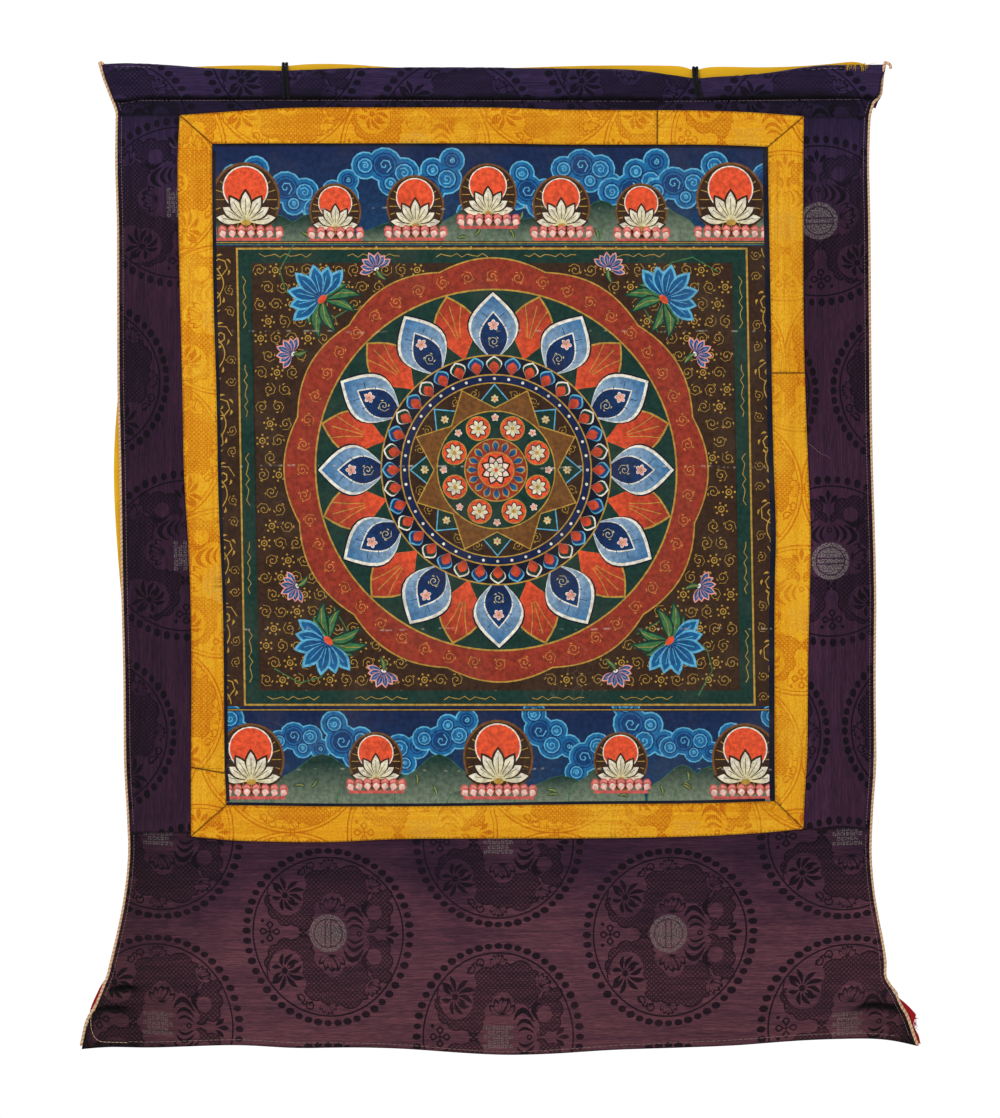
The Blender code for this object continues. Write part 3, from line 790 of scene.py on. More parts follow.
class Cloth:
    """The smooth front of a packed cloth, laid flat in millimetres; points of it can be put back in place."""

    def __init__(self, node, folded=False, levels=3):
        self.node = node
        smooth = smooth_front(node, levels)
        self.tops, self.folded = BVHTree.FromBMesh(smooth), folded
        smooth.verts.ensure_lookup_table()
        self.places = [vert.co.copy() for vert in smooth.verts]
        self.normals = [vert.normal.copy() for vert in smooth.verts]
        self.flats = [self.flat(vert.co) for vert in smooth.verts]
        self.faces = [tuple(vert.index for vert in face.verts) for face in smooth.faces]
        self.outline = walk_rim(smooth, self.flats)
        self.box = box_of(self.outline)
        smooth.free()
        self.tree = BVHTree.FromPolygons([Vector((f.real, 0, f.imag)) for f in self.flats], self.faces)

    def top(self, across):
        hit = self.tops.ray_cast(Vector((across, 0.0, 0.1)), Vector((0, 0, -1)))[0]
        return hit.z if hit else 0.0

    def flat(self, place):
        """Across and height; past the fold of the rod pocket the height runs on over it and down the back."""
        height = place.z
        if self.folded and (place.z > POCKET_FLAT or place.y > BACK_WALL):
            shoulder = self.top(place.x) - POCKET_RADIUS
            if place.z > POCKET_FLAT and place.z > shoulder:
                height = shoulder + POCKET_RADIUS * math.atan2(place.z - shoulder, -place.y)
            elif place.z <= POCKET_FLAT or place.y > 0:
                height = shoulder + math.pi * POCKET_RADIUS + shoulder - place.z
        return complex(place.x, height) / MM

    def lift(self, point):
        """The place and the outward normal of a flat point."""
        target = Vector((point.real, 0, point.imag))
        corners = self.faces[self.tree.find_nearest(target)[2]]
        flats = [Vector((self.flats[c].real, 0, self.flats[c].imag)) for c in corners]
        place = barycentric_transform(target, *flats, *[self.places[c] for c in corners])
        normal = barycentric_transform(target, *flats, *[self.normals[c] for c in corners])
        return place, normal.normalized()


def welded(node):
    """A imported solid's mesh with its corners joined."""
    source = bmesh.new()
    source.from_mesh(NODES[node].data)
    bmesh.ops.remove_doubles(source, verts=source.verts, dist=WELD)
    return source


def smooth_front(node, levels):
    """The foremost skin of a packed cloth as smooth, fine triangles."""
    source = welded(node)
    first = min(source.faces, key=lambda face: face.calc_center_median().y + face.normal.y * MM)
    reached, fresh = {first}, [first]
    while fresh:
        for edge in fresh.pop().edges:
            if edge.calc_face_angle(math.pi) < RIM_ANGLE:
                for face in edge.link_faces:
                    if face not in reached:
                        reached.add(face)
                        fresh.append(face)
    bmesh.ops.delete(source, geom=[face for face in source.faces if face not in reached], context="FACES")
    bmesh.ops.join_triangles(source, faces=source.faces, angle_face_threshold=0.6, angle_shape_threshold=1.4)
    hold_corners(source)
    mesh = bpy.data.meshes.new(node + "_front")
    source.to_mesh(mesh)
    thing = put(node + "_front", mesh)
    smoother = thing.modifiers.new("smooth", "SUBSURF")
    smoother.levels = smoother.render_levels = levels
    smoother.boundary_smooth = "PRESERVE_CORNERS"
    finished = thing.evaluated_get(bpy.context.evaluated_depsgraph_get()).to_mesh()
    source.clear()
    source.from_mesh(finished)
    bpy.data.objects.remove(thing)
    bpy.data.meshes.remove(mesh)
    bmesh.ops.triangulate(source, faces=source.faces)
    return source


def hold_corners(surface):
    """Creases the corners of an open surface's rim, so that smoothing leaves them sharp."""
    crease = surface.verts.layers.float.new("crease_vert")
    for vert in surface.verts:
        rim = [edge for edge in vert.link_edges if edge.is_boundary]
        if len(rim) == 2:
            first, last = (edge.other_vert(vert).co - vert.co for edge in rim)
            if first.angle(last, math.pi) < math.pi - CORNER_ANGLE:
                vert[crease] = 1.0


def walk_rim(surface, flats):
    """The flat outline of an open surface, counter-clockwise."""
    following = {}
    for edge in surface.edges:
        if edge.is_boundary:
            loop = edge.link_loops[0]
            following[loop.vert.index] = loop.link_loop_next.vert.index
    return [flats[index] for index in walk(following)]


def walk(following):
    """The corners of one closed rim in order, from a table that says which comes after which."""
    start = next(iter(following))
    rim = [start]
    while following[rim[-1]] != start:
        rim.append(following[rim[-1]])
        if len(rim) > len(following):
            raise RuntimeError("a cloth's rim doesn't close")
    return rim


def lattice(outline, cell):
    """Points in even rows, every other row shifted, over the outline's box."""
    low, high = box_of(outline)
    return [
        complex(low.real + (column + 0.25 + 0.5 * (row % 2)) * cell, low.imag + (row + 0.5) * cell)
        for row in range(int((high.imag - low.imag) / cell) + 1)
        for column in range(int((high.real - low.real) / cell) + 1)
    ]


def cut_flat(outline, shapes, cell, detail=()):
    """Cuts flat cloth along its outline and all the shapes: points, triangles, and each one's top shape."""
    points, faces, kept = list(outline), [range(len(outline))], []
    bounds = box_of(outline)
    for number, (edge, *_) in enumerate(shapes):
        if overlap(box_of(edge), bounds):
            faces.append(range(len(points), len(points) + len(edge)))
            kept.append(number)
            points += edge if turning(edge) > 0 else edge[::-1]
    points += lattice(outline, cell) + list(detail)
    places = [Vector((point.real, point.imag)) for point in points]
    faces = [list(face) for face in faces]
    found, _, triangles, _, _, owners = delaunay_2d_cdt(places, [], faces, 1, CUT_GAP, True)
    used, renumbered, cut, tops = [], {}, [], []
    for triangle, owner in zip(triangles, owners):
        if 0 not in owner:
            continue
        for index in triangle:
            if index not in renumbered:
                renumbered[index] = len(used)
                used.append(complex(found[index].x, found[index].y))
        cut.append(tuple(renumbered[index] for index in triangle))
        top = max(owner)
        tops.append(kept[top - 1] if top else None)
    return used, cut, tops


def rim_of(triangles):
    """Corner numbers round the edge of cut cloth, in order."""
    sides = {pair: True for t in triangles for pair in zip(t, t[1:] + t[:1])}
    return walk({here: there for here, there in sides if (there, here) not in sides})


def make_cloth(
    name, cloth, drawing=None, relief=None, grow=None, cell=None, detail=(), shade=None, thin=False
):
    """A closed cloth: its front is cut along the drawing, and its back is plain and coarse.

    A thin one's back has the front's relief; a thick one's back is smooth, so its relief must stay
    in front of it.
    """
    thickness = sizes().silk if thin else sizes().cloth
    outline = [grow(point) for point in cloth.outline] if grow else cloth.outline
    shapes = drawing.shapes if drawing else []
    flats, front, tops = cut_flat(outline, shapes, (cell or sizes().cell) / MM, detail)
    rim = rim_of(front)
    rim_flats = [flats[index] for index in rim]
    back_flats, back, _ = cut_flat(rim_flats, [], (cell if thin else sizes().back_cell) / MM)
    nearest = {(round(p.real, 3), round(p.imag, 3)): number for number, p in enumerate(back_flats)}
    verts = []
    for points, depth in ((flats, 0.0), (back_flats, thickness)):
        for point in points:
            place, normal = cloth.lift(point)
            forward = (relief(point) if relief and (thin or not depth) else 0.0) - depth
            verts.append(place + normal * forward)
    offset = len(flats)
    faces = front + [tuple(offset + index for index in reversed(triangle)) for triangle in back]
    behind = [offset + nearest[round(p.real, 3), round(p.imag, 3)] for p in rim_flats]
    for here in range(len(rim)):
        there = (here + 1) % len(rim)
        faces.append((rim[there], rim[here], behind[here], behind[there]))
    mesh = bpy.data.meshes.new(name)
    mesh.from_pydata(verts, [], faces)
    if shapes:
        paint_faces(mesh, flats, front, tops, shapes, shade)
    mesh.shade_smooth()
    mesh.set_sharp_from_angle(angle=SHARP_ANGLE)
    mesh.update()
    return put(name, mesh)


def paint_faces(mesh, flats, triangles, tops, shapes, shade):
    """Writes each corner's colour from the shape on top there, and its painted shade as the alpha."""
    tones = [shade(point) for point in flats] if shade else [1.0] * len(flats)
    values = []
    for triangle, top in zip(triangles, tops):
        if top is None:
            for index in triangle:
                values += [0.0, 0.0, 0.0, tones[index]]
            continue
        _, colour, other, (start, end) = shapes[top]
        way = end - start
        for index in triangle:
            share = ((flats[index] - start) * way.conjugate()).real / abs(way) ** 2
            share = min(max(share, 0.0), 1.0)
            values += [mix(a, b, share) for a, b in zip(colour, other)] + [tones[index]]
    values += [0.0, 0.0, 0.0, 1.0] * (len(mesh.loops) - len(values) // 4)
    layer = mesh.color_attributes.new("pattern", "FLOAT_COLOR", "CORNER")
    layer.data.foreach_set("color", values)


def declare(thing, material, nodes):
    thing.data.materials.append(material_named(material))
    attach(thing, "root")
    if nodes:
        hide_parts(*nodes)


def declare_cloth(thing, cloth, material):
    declare(thing, material, [cloth.node])
    low, high = cloth.box
    area = abs(turning(cloth.outline)) / 2 * MM * MM


def even_path(points, step):
    """Points at even steps along a smooth curve through the given ones."""
    fine = []
    for n in range(len(points) - 1):
        before, ahead = points[max(n - 1, 0)], points[min(n + 2, len(points) - 1)]
        here, there = points[n], points[n + 1]
        for part in range(10):
            t = part / 10
            fine.append(0.5 * ((2 * here) + (there - before) * t
                               + (2 * before - 5 * here + 4 * there - ahead) * t ** 2
                               + (3 * here - before - 3 * there + ahead) * t ** 3))
    fine.append(points[-1])
    path, wait = [fine[0]], 0.0
    for here, there in zip(fine, fine[1:]):
        length = abs(there - here) if isinstance(here, complex) else (there - here).length
        while wait + length >= step * len(path):
            share = (step * len(path) - wait) / length
            path.append(here + (there - here) * share)
        wait += length
    return path


def crossings(outline, level, upright=False):
    """Where a flat outline crosses a height (or a place across, when upright)."""
    found = []
    for a, b in zip(outline, outline[1:] + outline[:1]):
        if upright:
            a, b = complex(a.imag, a.real), complex(b.imag, b.real)
        if (a.imag - level) * (b.imag - level) < 0:
            found.append(mix(a.real, b.real, (level - a.imag) / (b.imag - a.imag)))
    return found


def inset(outline, depth):
    """Points along the inner side of an outline."""
    points = []
    for n, point in enumerate(outline):
        way = outline[(n + 1) % len(outline)] - outline[n - 1]
        if abs(way) > 0.1:
            points.append(point + way / abs(way) * 1j * depth)
    return points


def edge_distance(outline):
    """A function that tells how far a flat point is from an outline."""
    border = KDTree(len(outline) * 6)
    for n, point in enumerate(outline):
        ahead = outline[(n + 1) % len(outline)]
        for part in range(6):
            spot = mix(point, ahead, part / 6)
            border.insert((spot.real, spot.imag, 0), n * 6 + part)
    border.balance()
    return lambda point: border.find((point.real, point.imag, 0))[2]


# ---------- plum mount

# The rod pocket's stitch line: places across and heights
POCKET_STITCH = (
    (-330, -31.5), (-316, -30.9), (-297, -28.4), (-138, -28.3), (150, -29.1), (315, -27.6), (330, -28.5),
)
FOLDS = (
    # middle across, height, half width, tilt, bow, depth: folds at the foot's corners, sharp below
    (-313.0, -779.5, 11.0, 0.02, -2.0, 3.2),
    (-323.0, -797.0, 14.0, 0.0, -1.5, 2.6),
    (321.0, -793.6, 12.0, 0.08, -3.0, 3.4),
    (337.0, -795.4, 6.5, -0.15, -0.5, 2.6),
)
DEEPEST = -0.75  # relief goes no deeper than this, so that it stays in front of the cloth's back
FOLD_RUN = 17.0  # how far above its lower edge a fold dies away
SEAM_RUN = 0.36  # how far a mount cloth runs on to meet the next one at a seam
PIPING_RUN = 1.9  # how far it runs on sideways to meet the piping
MOUNT_CLOTHS = (
    # node, a roundel's middle, cut across the bolt, turn of the pattern, its steps
    ("mount_top", -176.8 + 19.0j, False, 0.0, (144.5, 154.7)),
    ("mount_left", -261.4 - 415.0j, True, 1.15, (150.0, 165.8)),
    ("mount_right", 359.1 - 272.6j, True, 1.9, (144.6, 155.0)),
    ("mount_bottom", 4.5 - 658.5j, False, 0.0, (144.5, 158.1)),
)


def pocket_stitch(across):
    """Height of the rod pocket's stitch line."""
    for (a, low), (b, high) in zip(POCKET_STITCH, POCKET_STITCH[1:]):
        if across <= b:
            return mix(low, high, smooth_step((across - a) / (b - a)))
    return POCKET_STITCH[-1][1]


def fold_at(fold, point):
    """How strong a fold is at a point, and how far the point lies above its lower edge."""
    x, z, half, tilt, bow, _ = fold
    across = (point.real - x) / half
    return math.exp(-across ** 2), point.imag - z - tilt * (point.real - x) - bow * across ** 2


def folds(point):
    """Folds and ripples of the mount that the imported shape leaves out, in metres towards the viewer."""
    total = 0.0
    for fold in FOLDS:
        share, above = fold_at(fold, point)
        if above > 0:
            total += fold[5] * share * smooth_step(1 - above / FOLD_RUN)
        else:
            total += share * (fold[5] * smooth_step(1 + above / 1.1) - 0.5 * bump(above + 2.6, 2.4))
    x, z = point.real, point.imag
    ripple = rough_at(x / 38, z / 55, 0.4) * 0.7 + rough_at(x / 11, z / 15, 3.7) * 0.18
    return max(total + ripple * smooth_step((-40 - z) / 60), DEEPEST) * MM


def pocket_relief(point):
    """The rod pocket's front wall bulges over its stitch line, less where a tie holds it in."""
    x, z = point.real, point.imag
    above = z - pocket_stitch(x)
    if z > 30 or z < -42:
        return 0.0
    held = max(bump(x - tie[1], 16) for tie in TIES)
    sway = (0.8 + 0.5 * rough_at(x / 45, z / 30, 7.0)) * (1 - 0.75 * held)
    puff = 3.0 * smooth_step((above + 0.1) / 3.4) * smooth_step((3 - z) / 16) * sway
    wrinkle = 0.3 * rough_at(x / 12, z / 22, 2.0) * smooth_step((-2 - z) / 6)
    below = -0.35 * smooth_step((above + 7) / 5) * smooth_step((2 - above) / 2)
    return (puff + wrinkle + below - 0.3 * bump(above, 1.6)) * MM


RELIEFS = {"mount_top": pocket_relief, "mount_left": folds, "mount_right": folds, "mount_bottom": folds}


def fold_points():
    """Extra points round the foot's folds, close enough together to show them."""
    points = []
    for x, z, half, tilt, bow, _ in FOLDS:
        for column in range(-20, 21):
            across = column / 10
            foot = z + tilt * across * half + bow * across ** 2
            for above in (-5.0, -3.6, -2.4, -1.6, -1.1, -0.75, -0.4, 0.0, 0.6, 1.5, 3.0, 5.5):
                points.append(complex(x + across * half, foot + above))
    return points


def pocket_points():
    """Extra points in rows beside the rod pocket's stitch line."""
    rows = (-5, -3.5, -2, -1, -0.3, 0.3, 1.0, 1.8, 2.8, 4.0, 5.5, 7.5)
    return [complex(x, pocket_stitch(x) + above) for x in range(-326, 328, 3) for above in rows]


def mount_painted_shade(node, outline):
    """Painted shade on a mount cloth: darker at its edges, in and under its folds, around the rod pocket's
    stitch line and at the foot's corners.
    """
    distance = edge_distance(outline)

    def shade(point):
        x, z = point.real, point.imag
        # Painted shade along the cloth's edges, beside the piping and at the seams.
        tone = mix(0.2, 1.0, smooth_step((distance(point) + 0.6) / 3.0))
        # Painted shadow in the hollow above the rod pocket's stitch line, and painted shade below that line.
        if node == "mount_top" and -46 < z < 0:
            above = z - pocket_stitch(x)
            patch = 0.5 + 1.1 * rough_at(x / 55, 2.0, 0.5) + 0.5 * rough_at(x / 9, z / 5, 0.5)
            hollow = bump(above - 1.8, 3.0 + 5.4 * min(max(patch, 0.0), 1.0)) if above > 1.8 else 1.0
            tone *= 0.55 if above < 0 else mix(1.0, 0.08, hollow * min(max(patch + 0.8, 0.6), 1.0))
        # The right strip's inner part is lighter low down.
        elif node == "mount_right":
            inner = mix(1.5, 1.08, smooth_step((x - 268) / 40))
            tone *= mix(1.0, inner, smooth_step((-240 - z) / 160))
        elif node == "mount_bottom":
            # Painted shade at the foot's left side, its right corner and its two lowest corners; also a
            # little darker towards the foot.
            tone *= mix(0.6, 1.0, smooth_step((x + 330) / 120 + 0.15 * rough_at(x / 30, z / 30, 1.0)))
            tone *= mix(1.0, 0.9, smooth_step((-765 - z) / 50))
            tone *= mix(1.0, 0.7, smooth_step((x - 288) / 40) * smooth_step((-770 - z) / 30))
            corner = smooth_step((-788 - z) / 14) * ((x < -300) + (x > 335))
            tone *= mix(1.0, 0.4, corner * smooth_step((7.0 - distance(point)) / 3.5))
        # Painted shade near the top of the sides, and painted shadows in and under the folds.
        if node != "mount_top":
            tone *= mix(0.66, 1.0, smooth_step((-40 - z) / 40))
            for fold in FOLDS:
                share, above = fold_at(fold, point)
                tone *= 1 - 0.97 * min(share * 1.6, 1.0) * bump(above + 2.8, 5.4)
        return tone

    return shade


def corner_bulge(height):
    """How far the mount's upper right corner and its piping stand out sideways."""
    return 2.2 * smooth_step((height + 31) / 9)


def meet_neighbours(node):
    """How a point of a mount cloth's outline moves, so that it meets the next cloth and the piping."""
    def move(point):
        x, z = point.real, point.imag
        out = PIPING_RUN * ((x > 290) - (x < -290))
        if x > 290:
            out += corner_bulge(z) + (2.4 * smooth_step((z + 12) / 9) if x > 318 else 0)
        if node == "mount_top":
            up = -(z < -38 and -317 < x < 317)
        elif node == "mount_bottom":
            up = z > -656 and -314 < x < 322
        else:
            up = (z > -46) - (z < -640)
        return point + complex(out, SEAM_RUN * up)

    return move


class THANGKA_OT_plum_mount(bpy.types.Operator):
    """Makes the four plum brocade cloths: the pocketed top, the two sides and the flared foot"""

    bl_idname = "thangka.plum_mount"
    bl_label = "Plum Mount"

    def execute(self, context):
        for node, origin, turned, tilt, pitch in MOUNT_CLOTHS:
            top = node == "mount_top"
            cloth = Cloth(node, folded=top, levels=2 if top else 3)
            drawing = brocade_drawing(cloth.box, origin, turned, tilt, pitch, True)
            grow = meet_neighbours(node)
            outline = [grow(point) for point in cloth.outline]
            detail = inset(outline, 1.0) + inset(outline, 2.4)
            if node == "mount_bottom":
                drawing = drawing.bent(flare)
                detail += fold_points()
            elif top:
                detail += pocket_points()
            thing = make_cloth(
                node + "_cloth", cloth, drawing, RELIEFS[node], grow, detail=detail,
                shade=mount_painted_shade(node, outline),
            )
            material = "plum brocade turned" if turned else "plum brocade"
            declare_cloth(thing, cloth, material)
        return {"FINISHED"}


# ---------- gold frame

GOLD_STRIPS = {
    # node: a roundel's middle and whether the strip was cut across the bolt
    "gold_top_left": (-402.1 - 135.3j, False),
    "gold_top_right": (215.0 - 62.0j, False),
    "gold_left_upper": (-165.3 - 550.5j, True),
    "gold_left_lower": (-250.0 - 690.0j, True),
    "gold_right_upper": (248.0 - 135.0j, True),
    "gold_right_lower": (262.0 - 470.0j, True),
    "gold_bottom": (-60.0 - 650.0j, False),
}
GOLD_STEPS = 112.0, 128.0  # from one roundel of the gold brocade to the next, across and up
# Stitches along the inner and the outer edge: how far outwards, whether it's the outer one, length, gap
FRAME_SEAMS = (1.3, False, 1.0 * MM, 3.2 * MM), (-0.9, True, 1.1 * MM, 2.4 * MM)


class THANGKA_OT_gold_frame(bpy.types.Operator):
    """Makes the seven strips of the gold brocade frame, with their turned edges and small stitches"""

    bl_idname = "thangka.gold_frame"
    bl_label = "Gold Frame"

    def execute(self, context):
        cloths = {}
        for node, (origin, turned) in GOLD_STRIPS.items():
            cloth = cloths[node] = Cloth(node)
            drawing = brocade_drawing(cloth.box, origin, turned, 0.0, GOLD_STEPS, False)
            distance = edge_distance(cloth.outline)
            # Each strip gets a painted shadow along its turned edge, within about a millimetre of it.
            thing = make_cloth(
                node + "_strip", cloth, drawing, turned_edge(distance), cell=3.6 * MM,
                detail=inset(cloth.outline, 1.0),
                shade=lambda point: mix(0.45, 1.0, smooth_step((distance(point) - 0.1) / 0.9)),
            )
            material = "gold brocade turned" if turned else "gold brocade"
            declare_cloth(thing, cloth, material)
        dark = Thread()
        for side in ("top", "left", "right", "bottom"):
            for outward, outer, length, gap in FRAME_SEAMS:
                path = frame_edge(side, outward, outer)
                for cloth in (cloths[node] for node in strips_of(side)):
                    own = [point for point in path if overlap((point, point), cloth.box)]
                    sew(dark, cloth, lambda point: 0.0, own, 0.17, length, gap)
        dark.make("frame_stitches", "dark thread", "gold_brocade")
        return {"FINISHED"}


def strips_of(side):
    """The nodes of the gold strips along one side of the frame."""
    return [node for node in GOLD_STRIPS if node.startswith("gold_" + side)]


def turned_edge(distance):
    """Relief of a strip whose edge is turned under: soft in the middle, pulled down at its border."""
    def relief(point):
        away = distance(point)
        pucker = rough_at(point.real / 5, point.imag / 5, 1.0) * bump(away - 3, 4)
        soft = rough_at(point.real / 22, point.imag / 22, 5.0)
        return (0.12 * soft + 0.1 * pucker - 0.3 * bump(away, 2.2)) * MM

    return relief


def frame_edge(side, outward, outer=False):
    """A flat path along the gold frame's inner or outer edge, moved outwards by some millimetres."""
    upright = side in ("left", "right")
    low_end = side in ("left", "bottom")
    pick, way = max if low_end != outer else min, -1 if low_end else 1
    found = []
    for node in strips_of(side):
        outline = Cloth(node, levels=2).outline
        for step in range(-640, -50, 4) if upright else range(-262, 268, 4):
            marks = crossings(outline, step, not upright)
            if len(marks) > 1:
                mark = pick(marks) + way * outward
                found.append(complex(mark, step) if upright else complex(step, mark))
    found.sort(key=lambda point: point.imag if upright else point.real)
    if not outer:
        found = [point for point in found if inside_frame(point, upright, outward)]
    return even_path(found, 4.0)


def inside_frame(point, upright, outward):
    """Leaves out the slanted mitres at the two ends of a side."""
    if upright:
        return -628 - outward < point.imag < -66 + outward
    return -236 - outward < point.real < 238 + outward


# ---------- painted panel

NAVY, NIGHT, SKY_FOOT = ink(22, 36, 74), ink(17, 22, 40), ink(24, 62, 98)
CLOUD, CLOUD_LIGHT, CLOUD_DEEP = ink(28, 104, 156), ink(96, 176, 208), ink(20, 62, 112)
GREEN, LEAF, HILL = ink(24, 56, 48), ink(62, 116, 70), ink(120, 134, 112)
BROWN, EARTH, BRICK = ink(58, 38, 26), ink(118, 76, 38), ink(150, 54, 38)
FLAME, PINK, ROSE, AMBER = ink(232, 84, 48), ink(240, 158, 146), ink(206, 92, 84), ink(206, 138, 62)
ICE, CREAM, BONE, GILT = ink(166, 188, 202), ink(216, 202, 146), ink(236, 230, 212), ink(186, 146, 62)
PANEL_CENTRE = 2.6 - 342.3j
PANEL_LEAN = 0.018  # how far the painting leans to the right, for each step down
PANEL_LEFT, PANEL_RIGHT = -262.0, 262.0
BAND = 80.0  # height of the painted bands above and below the field
FIELD_TOP, FIELD_FOOT = -152.0, -543.0
# Lobes of a cloud bank: across, up, radius, way its curl winds
CLOUD_LOBES = (
    (-1.1, -0.3, 0.55, 1), (-0.45, 0.1, 0.7, -1), (0.35, 0.22, 0.62, 1), (0.95, -0.25, 0.52, -1),
    (0.1, -0.4, 0.5, 1),
)
# Lotuses of the two bands: across, height over the band's foot, size
TOP_LOTUSES = (
    (-206, 3, 1.34), (-130, 2, 1.0), (-62, 3, 1.12), (62, 3, 1.12), (130, 2, 1.0), (206, 3, 1.34),
    (0, 13, 1.12),
)
FOOT_LOTUSES = ((-210, 4, 1.3), (-104, 9, 1.05), (104, 9, 1.05), (210, 4, 1.3), (0, 4, 1.36))


class THANGKA_OT_painted_panel(bpy.types.Operator):
    """Makes the painted canvas with its own generic lotus design"""

    bl_idname = "thangka.painted_panel"
    bl_label = "Painted Panel"

    def execute(self, context):
        cloth = Cloth("painted_panel", levels=2)
        thing = make_cloth("painted_panel_canvas", cloth, paint_panel(), cell=10 * MM)
        declare_cloth(thing, cloth, "painted canvas")
        return {"FINISHED"}


def scroll(size, leaves, colour=GILT):
    """A gold spiral with comma leaves along its outer side."""
    motif = Drawing()
    motif.line(spiral(0.1 * size, size, 1.5, 10), lambda t: size * mix(0.13, 0.07, t), colour)
    for n in range(leaves):
        turn = 200 + 300 * n / leaves
        start = polar(size * (0.72 + 0.05 * n), turn)
        motif.leaf((size * 0.5, size * 0.2, 0.35, 3, 0.8), start, turn + 40, colour)
    return motif


def blossom(count, length, width, colour, edge, heart, tip=None):
    """A flower seen from above; every petal has an edge line and may pale towards its tip."""
    bloom = Drawing()
    for n in range(count):
        turn = 360 * n / count
        bloom.leaf((length, width, 0.6, 6), 0j, turn, edge)
        bloom.leaf((length * 0.86, width * 0.72, 0.6, 6), 0j, turn, colour, tip, (0j, polar(length, turn)))
    bloom.add(circle(length * 0.2, 8), heart)
    return bloom


def lotus(size, colour, edge, tip, heart):
    """A lotus seen from the side: petals fan up from its foot, the nearest in front."""
    bloom = Drawing()
    for n, turn in enumerate((8, 172, 32, 148, 58, 122, 90)):
        length = size * (1.0 if n < 2 else 0.86 + 0.05 * (n // 2))
        bloom.leaf((length, size * 0.4, 0.6, 7), 0j, turn, edge)
        bloom.leaf((length * 0.9, size * 0.3, 0.6, 7), 0j, turn, colour, tip, (0j, polar(length, turn)))
        bloom.line([polar(length * t, turn) for t in (0.2, 0.45, 0.7)], size * 0.02, edge)
    bloom.dot(complex(0, -size * 0.03), size * 0.15, 10, heart, 0.6)
    return bloom


def lotus_base(width):
    """A row of pink petals, as under a blossom in a painted band."""
    base = Drawing()
    count = max(int(width / 6.6), 3)
    for rise, colour, tip in ((3.2, ROSE, PINK), (0.0, PINK, BONE)):
        for n in range(count):
            x = width * ((n + 0.5) / count - 0.5)
            place, turn = complex(x, rise), 90 - x / width * 70
            base.leaf((8.4, 7.4, 0.6, 5), place, turn, ROSE)
            base.leaf((7.2, 5.6, 0.6, 5), place, turn, colour, tip, (place, place + 8j))
    base.add(rectangle(complex(-width / 2, -2), complex(width / 2, 0.6)), ROSE)
    return base


def cloud(size):
    """A bank of curled cloud lobes, lightest at their edges."""
    bank = Drawing()
    for shrink, colour in ((0.0, CLOUD_LIGHT), (0.06, CLOUD), (0.2, CLOUD_DEEP)):
        for x, y, radius, _ in CLOUD_LOBES:
            bank.dot(complex(x, y) * size, (radius - shrink) * size, 14, colour)
    for x, y, radius, way in CLOUD_LOBES:
        place = complex(x, y) * size
        bank.dot(place, (radius - 0.26) * size, 10, CLOUD_LIGHT if way > 0 else CLOUD)
        bank.dot(place, (radius - 0.31) * size, 10, CLOUD if way > 0 else CLOUD_DEEP)
        curl = spiral(0.02 * size, (radius - 0.4) * size, way * 1.3, 8)
        bank.line(moved(curl, place, 90 * radius), 0.05 * size, CLOUD_LIGHT)
    return bank


def rosette(size):
    """A gold ring with a dot in it and dots round it."""
    motif = Drawing()
    motif.line(circle(size * 0.42, 6), size * 0.16, GILT, closed=True)
    motif.add(circle(size * 0.14, 4), GILT)
    for n in range(6):
        motif.dot(cmath.rect(size * 0.82, math.tau * n / 6), size * 0.18, 4, GILT)
    return motif


def leafy(size):
    """A curved leaf with a gold vein."""
    leaf = Drawing()
    leaf.add(petal(size, size * 0.36, 0.45, 7, 0.5), GREEN)
    leaf.leaf((size * 0.88, size * 0.24, 0.45, 7, 0.5), 0.04 * size, 0, LEAF)
    vein = [0.1 * size + 0j, complex(0.45 * size, 0.09 * size), complex(0.75 * size, 0.3 * size)]
    leaf.line(vein, 0.5, GILT)
    return leaf


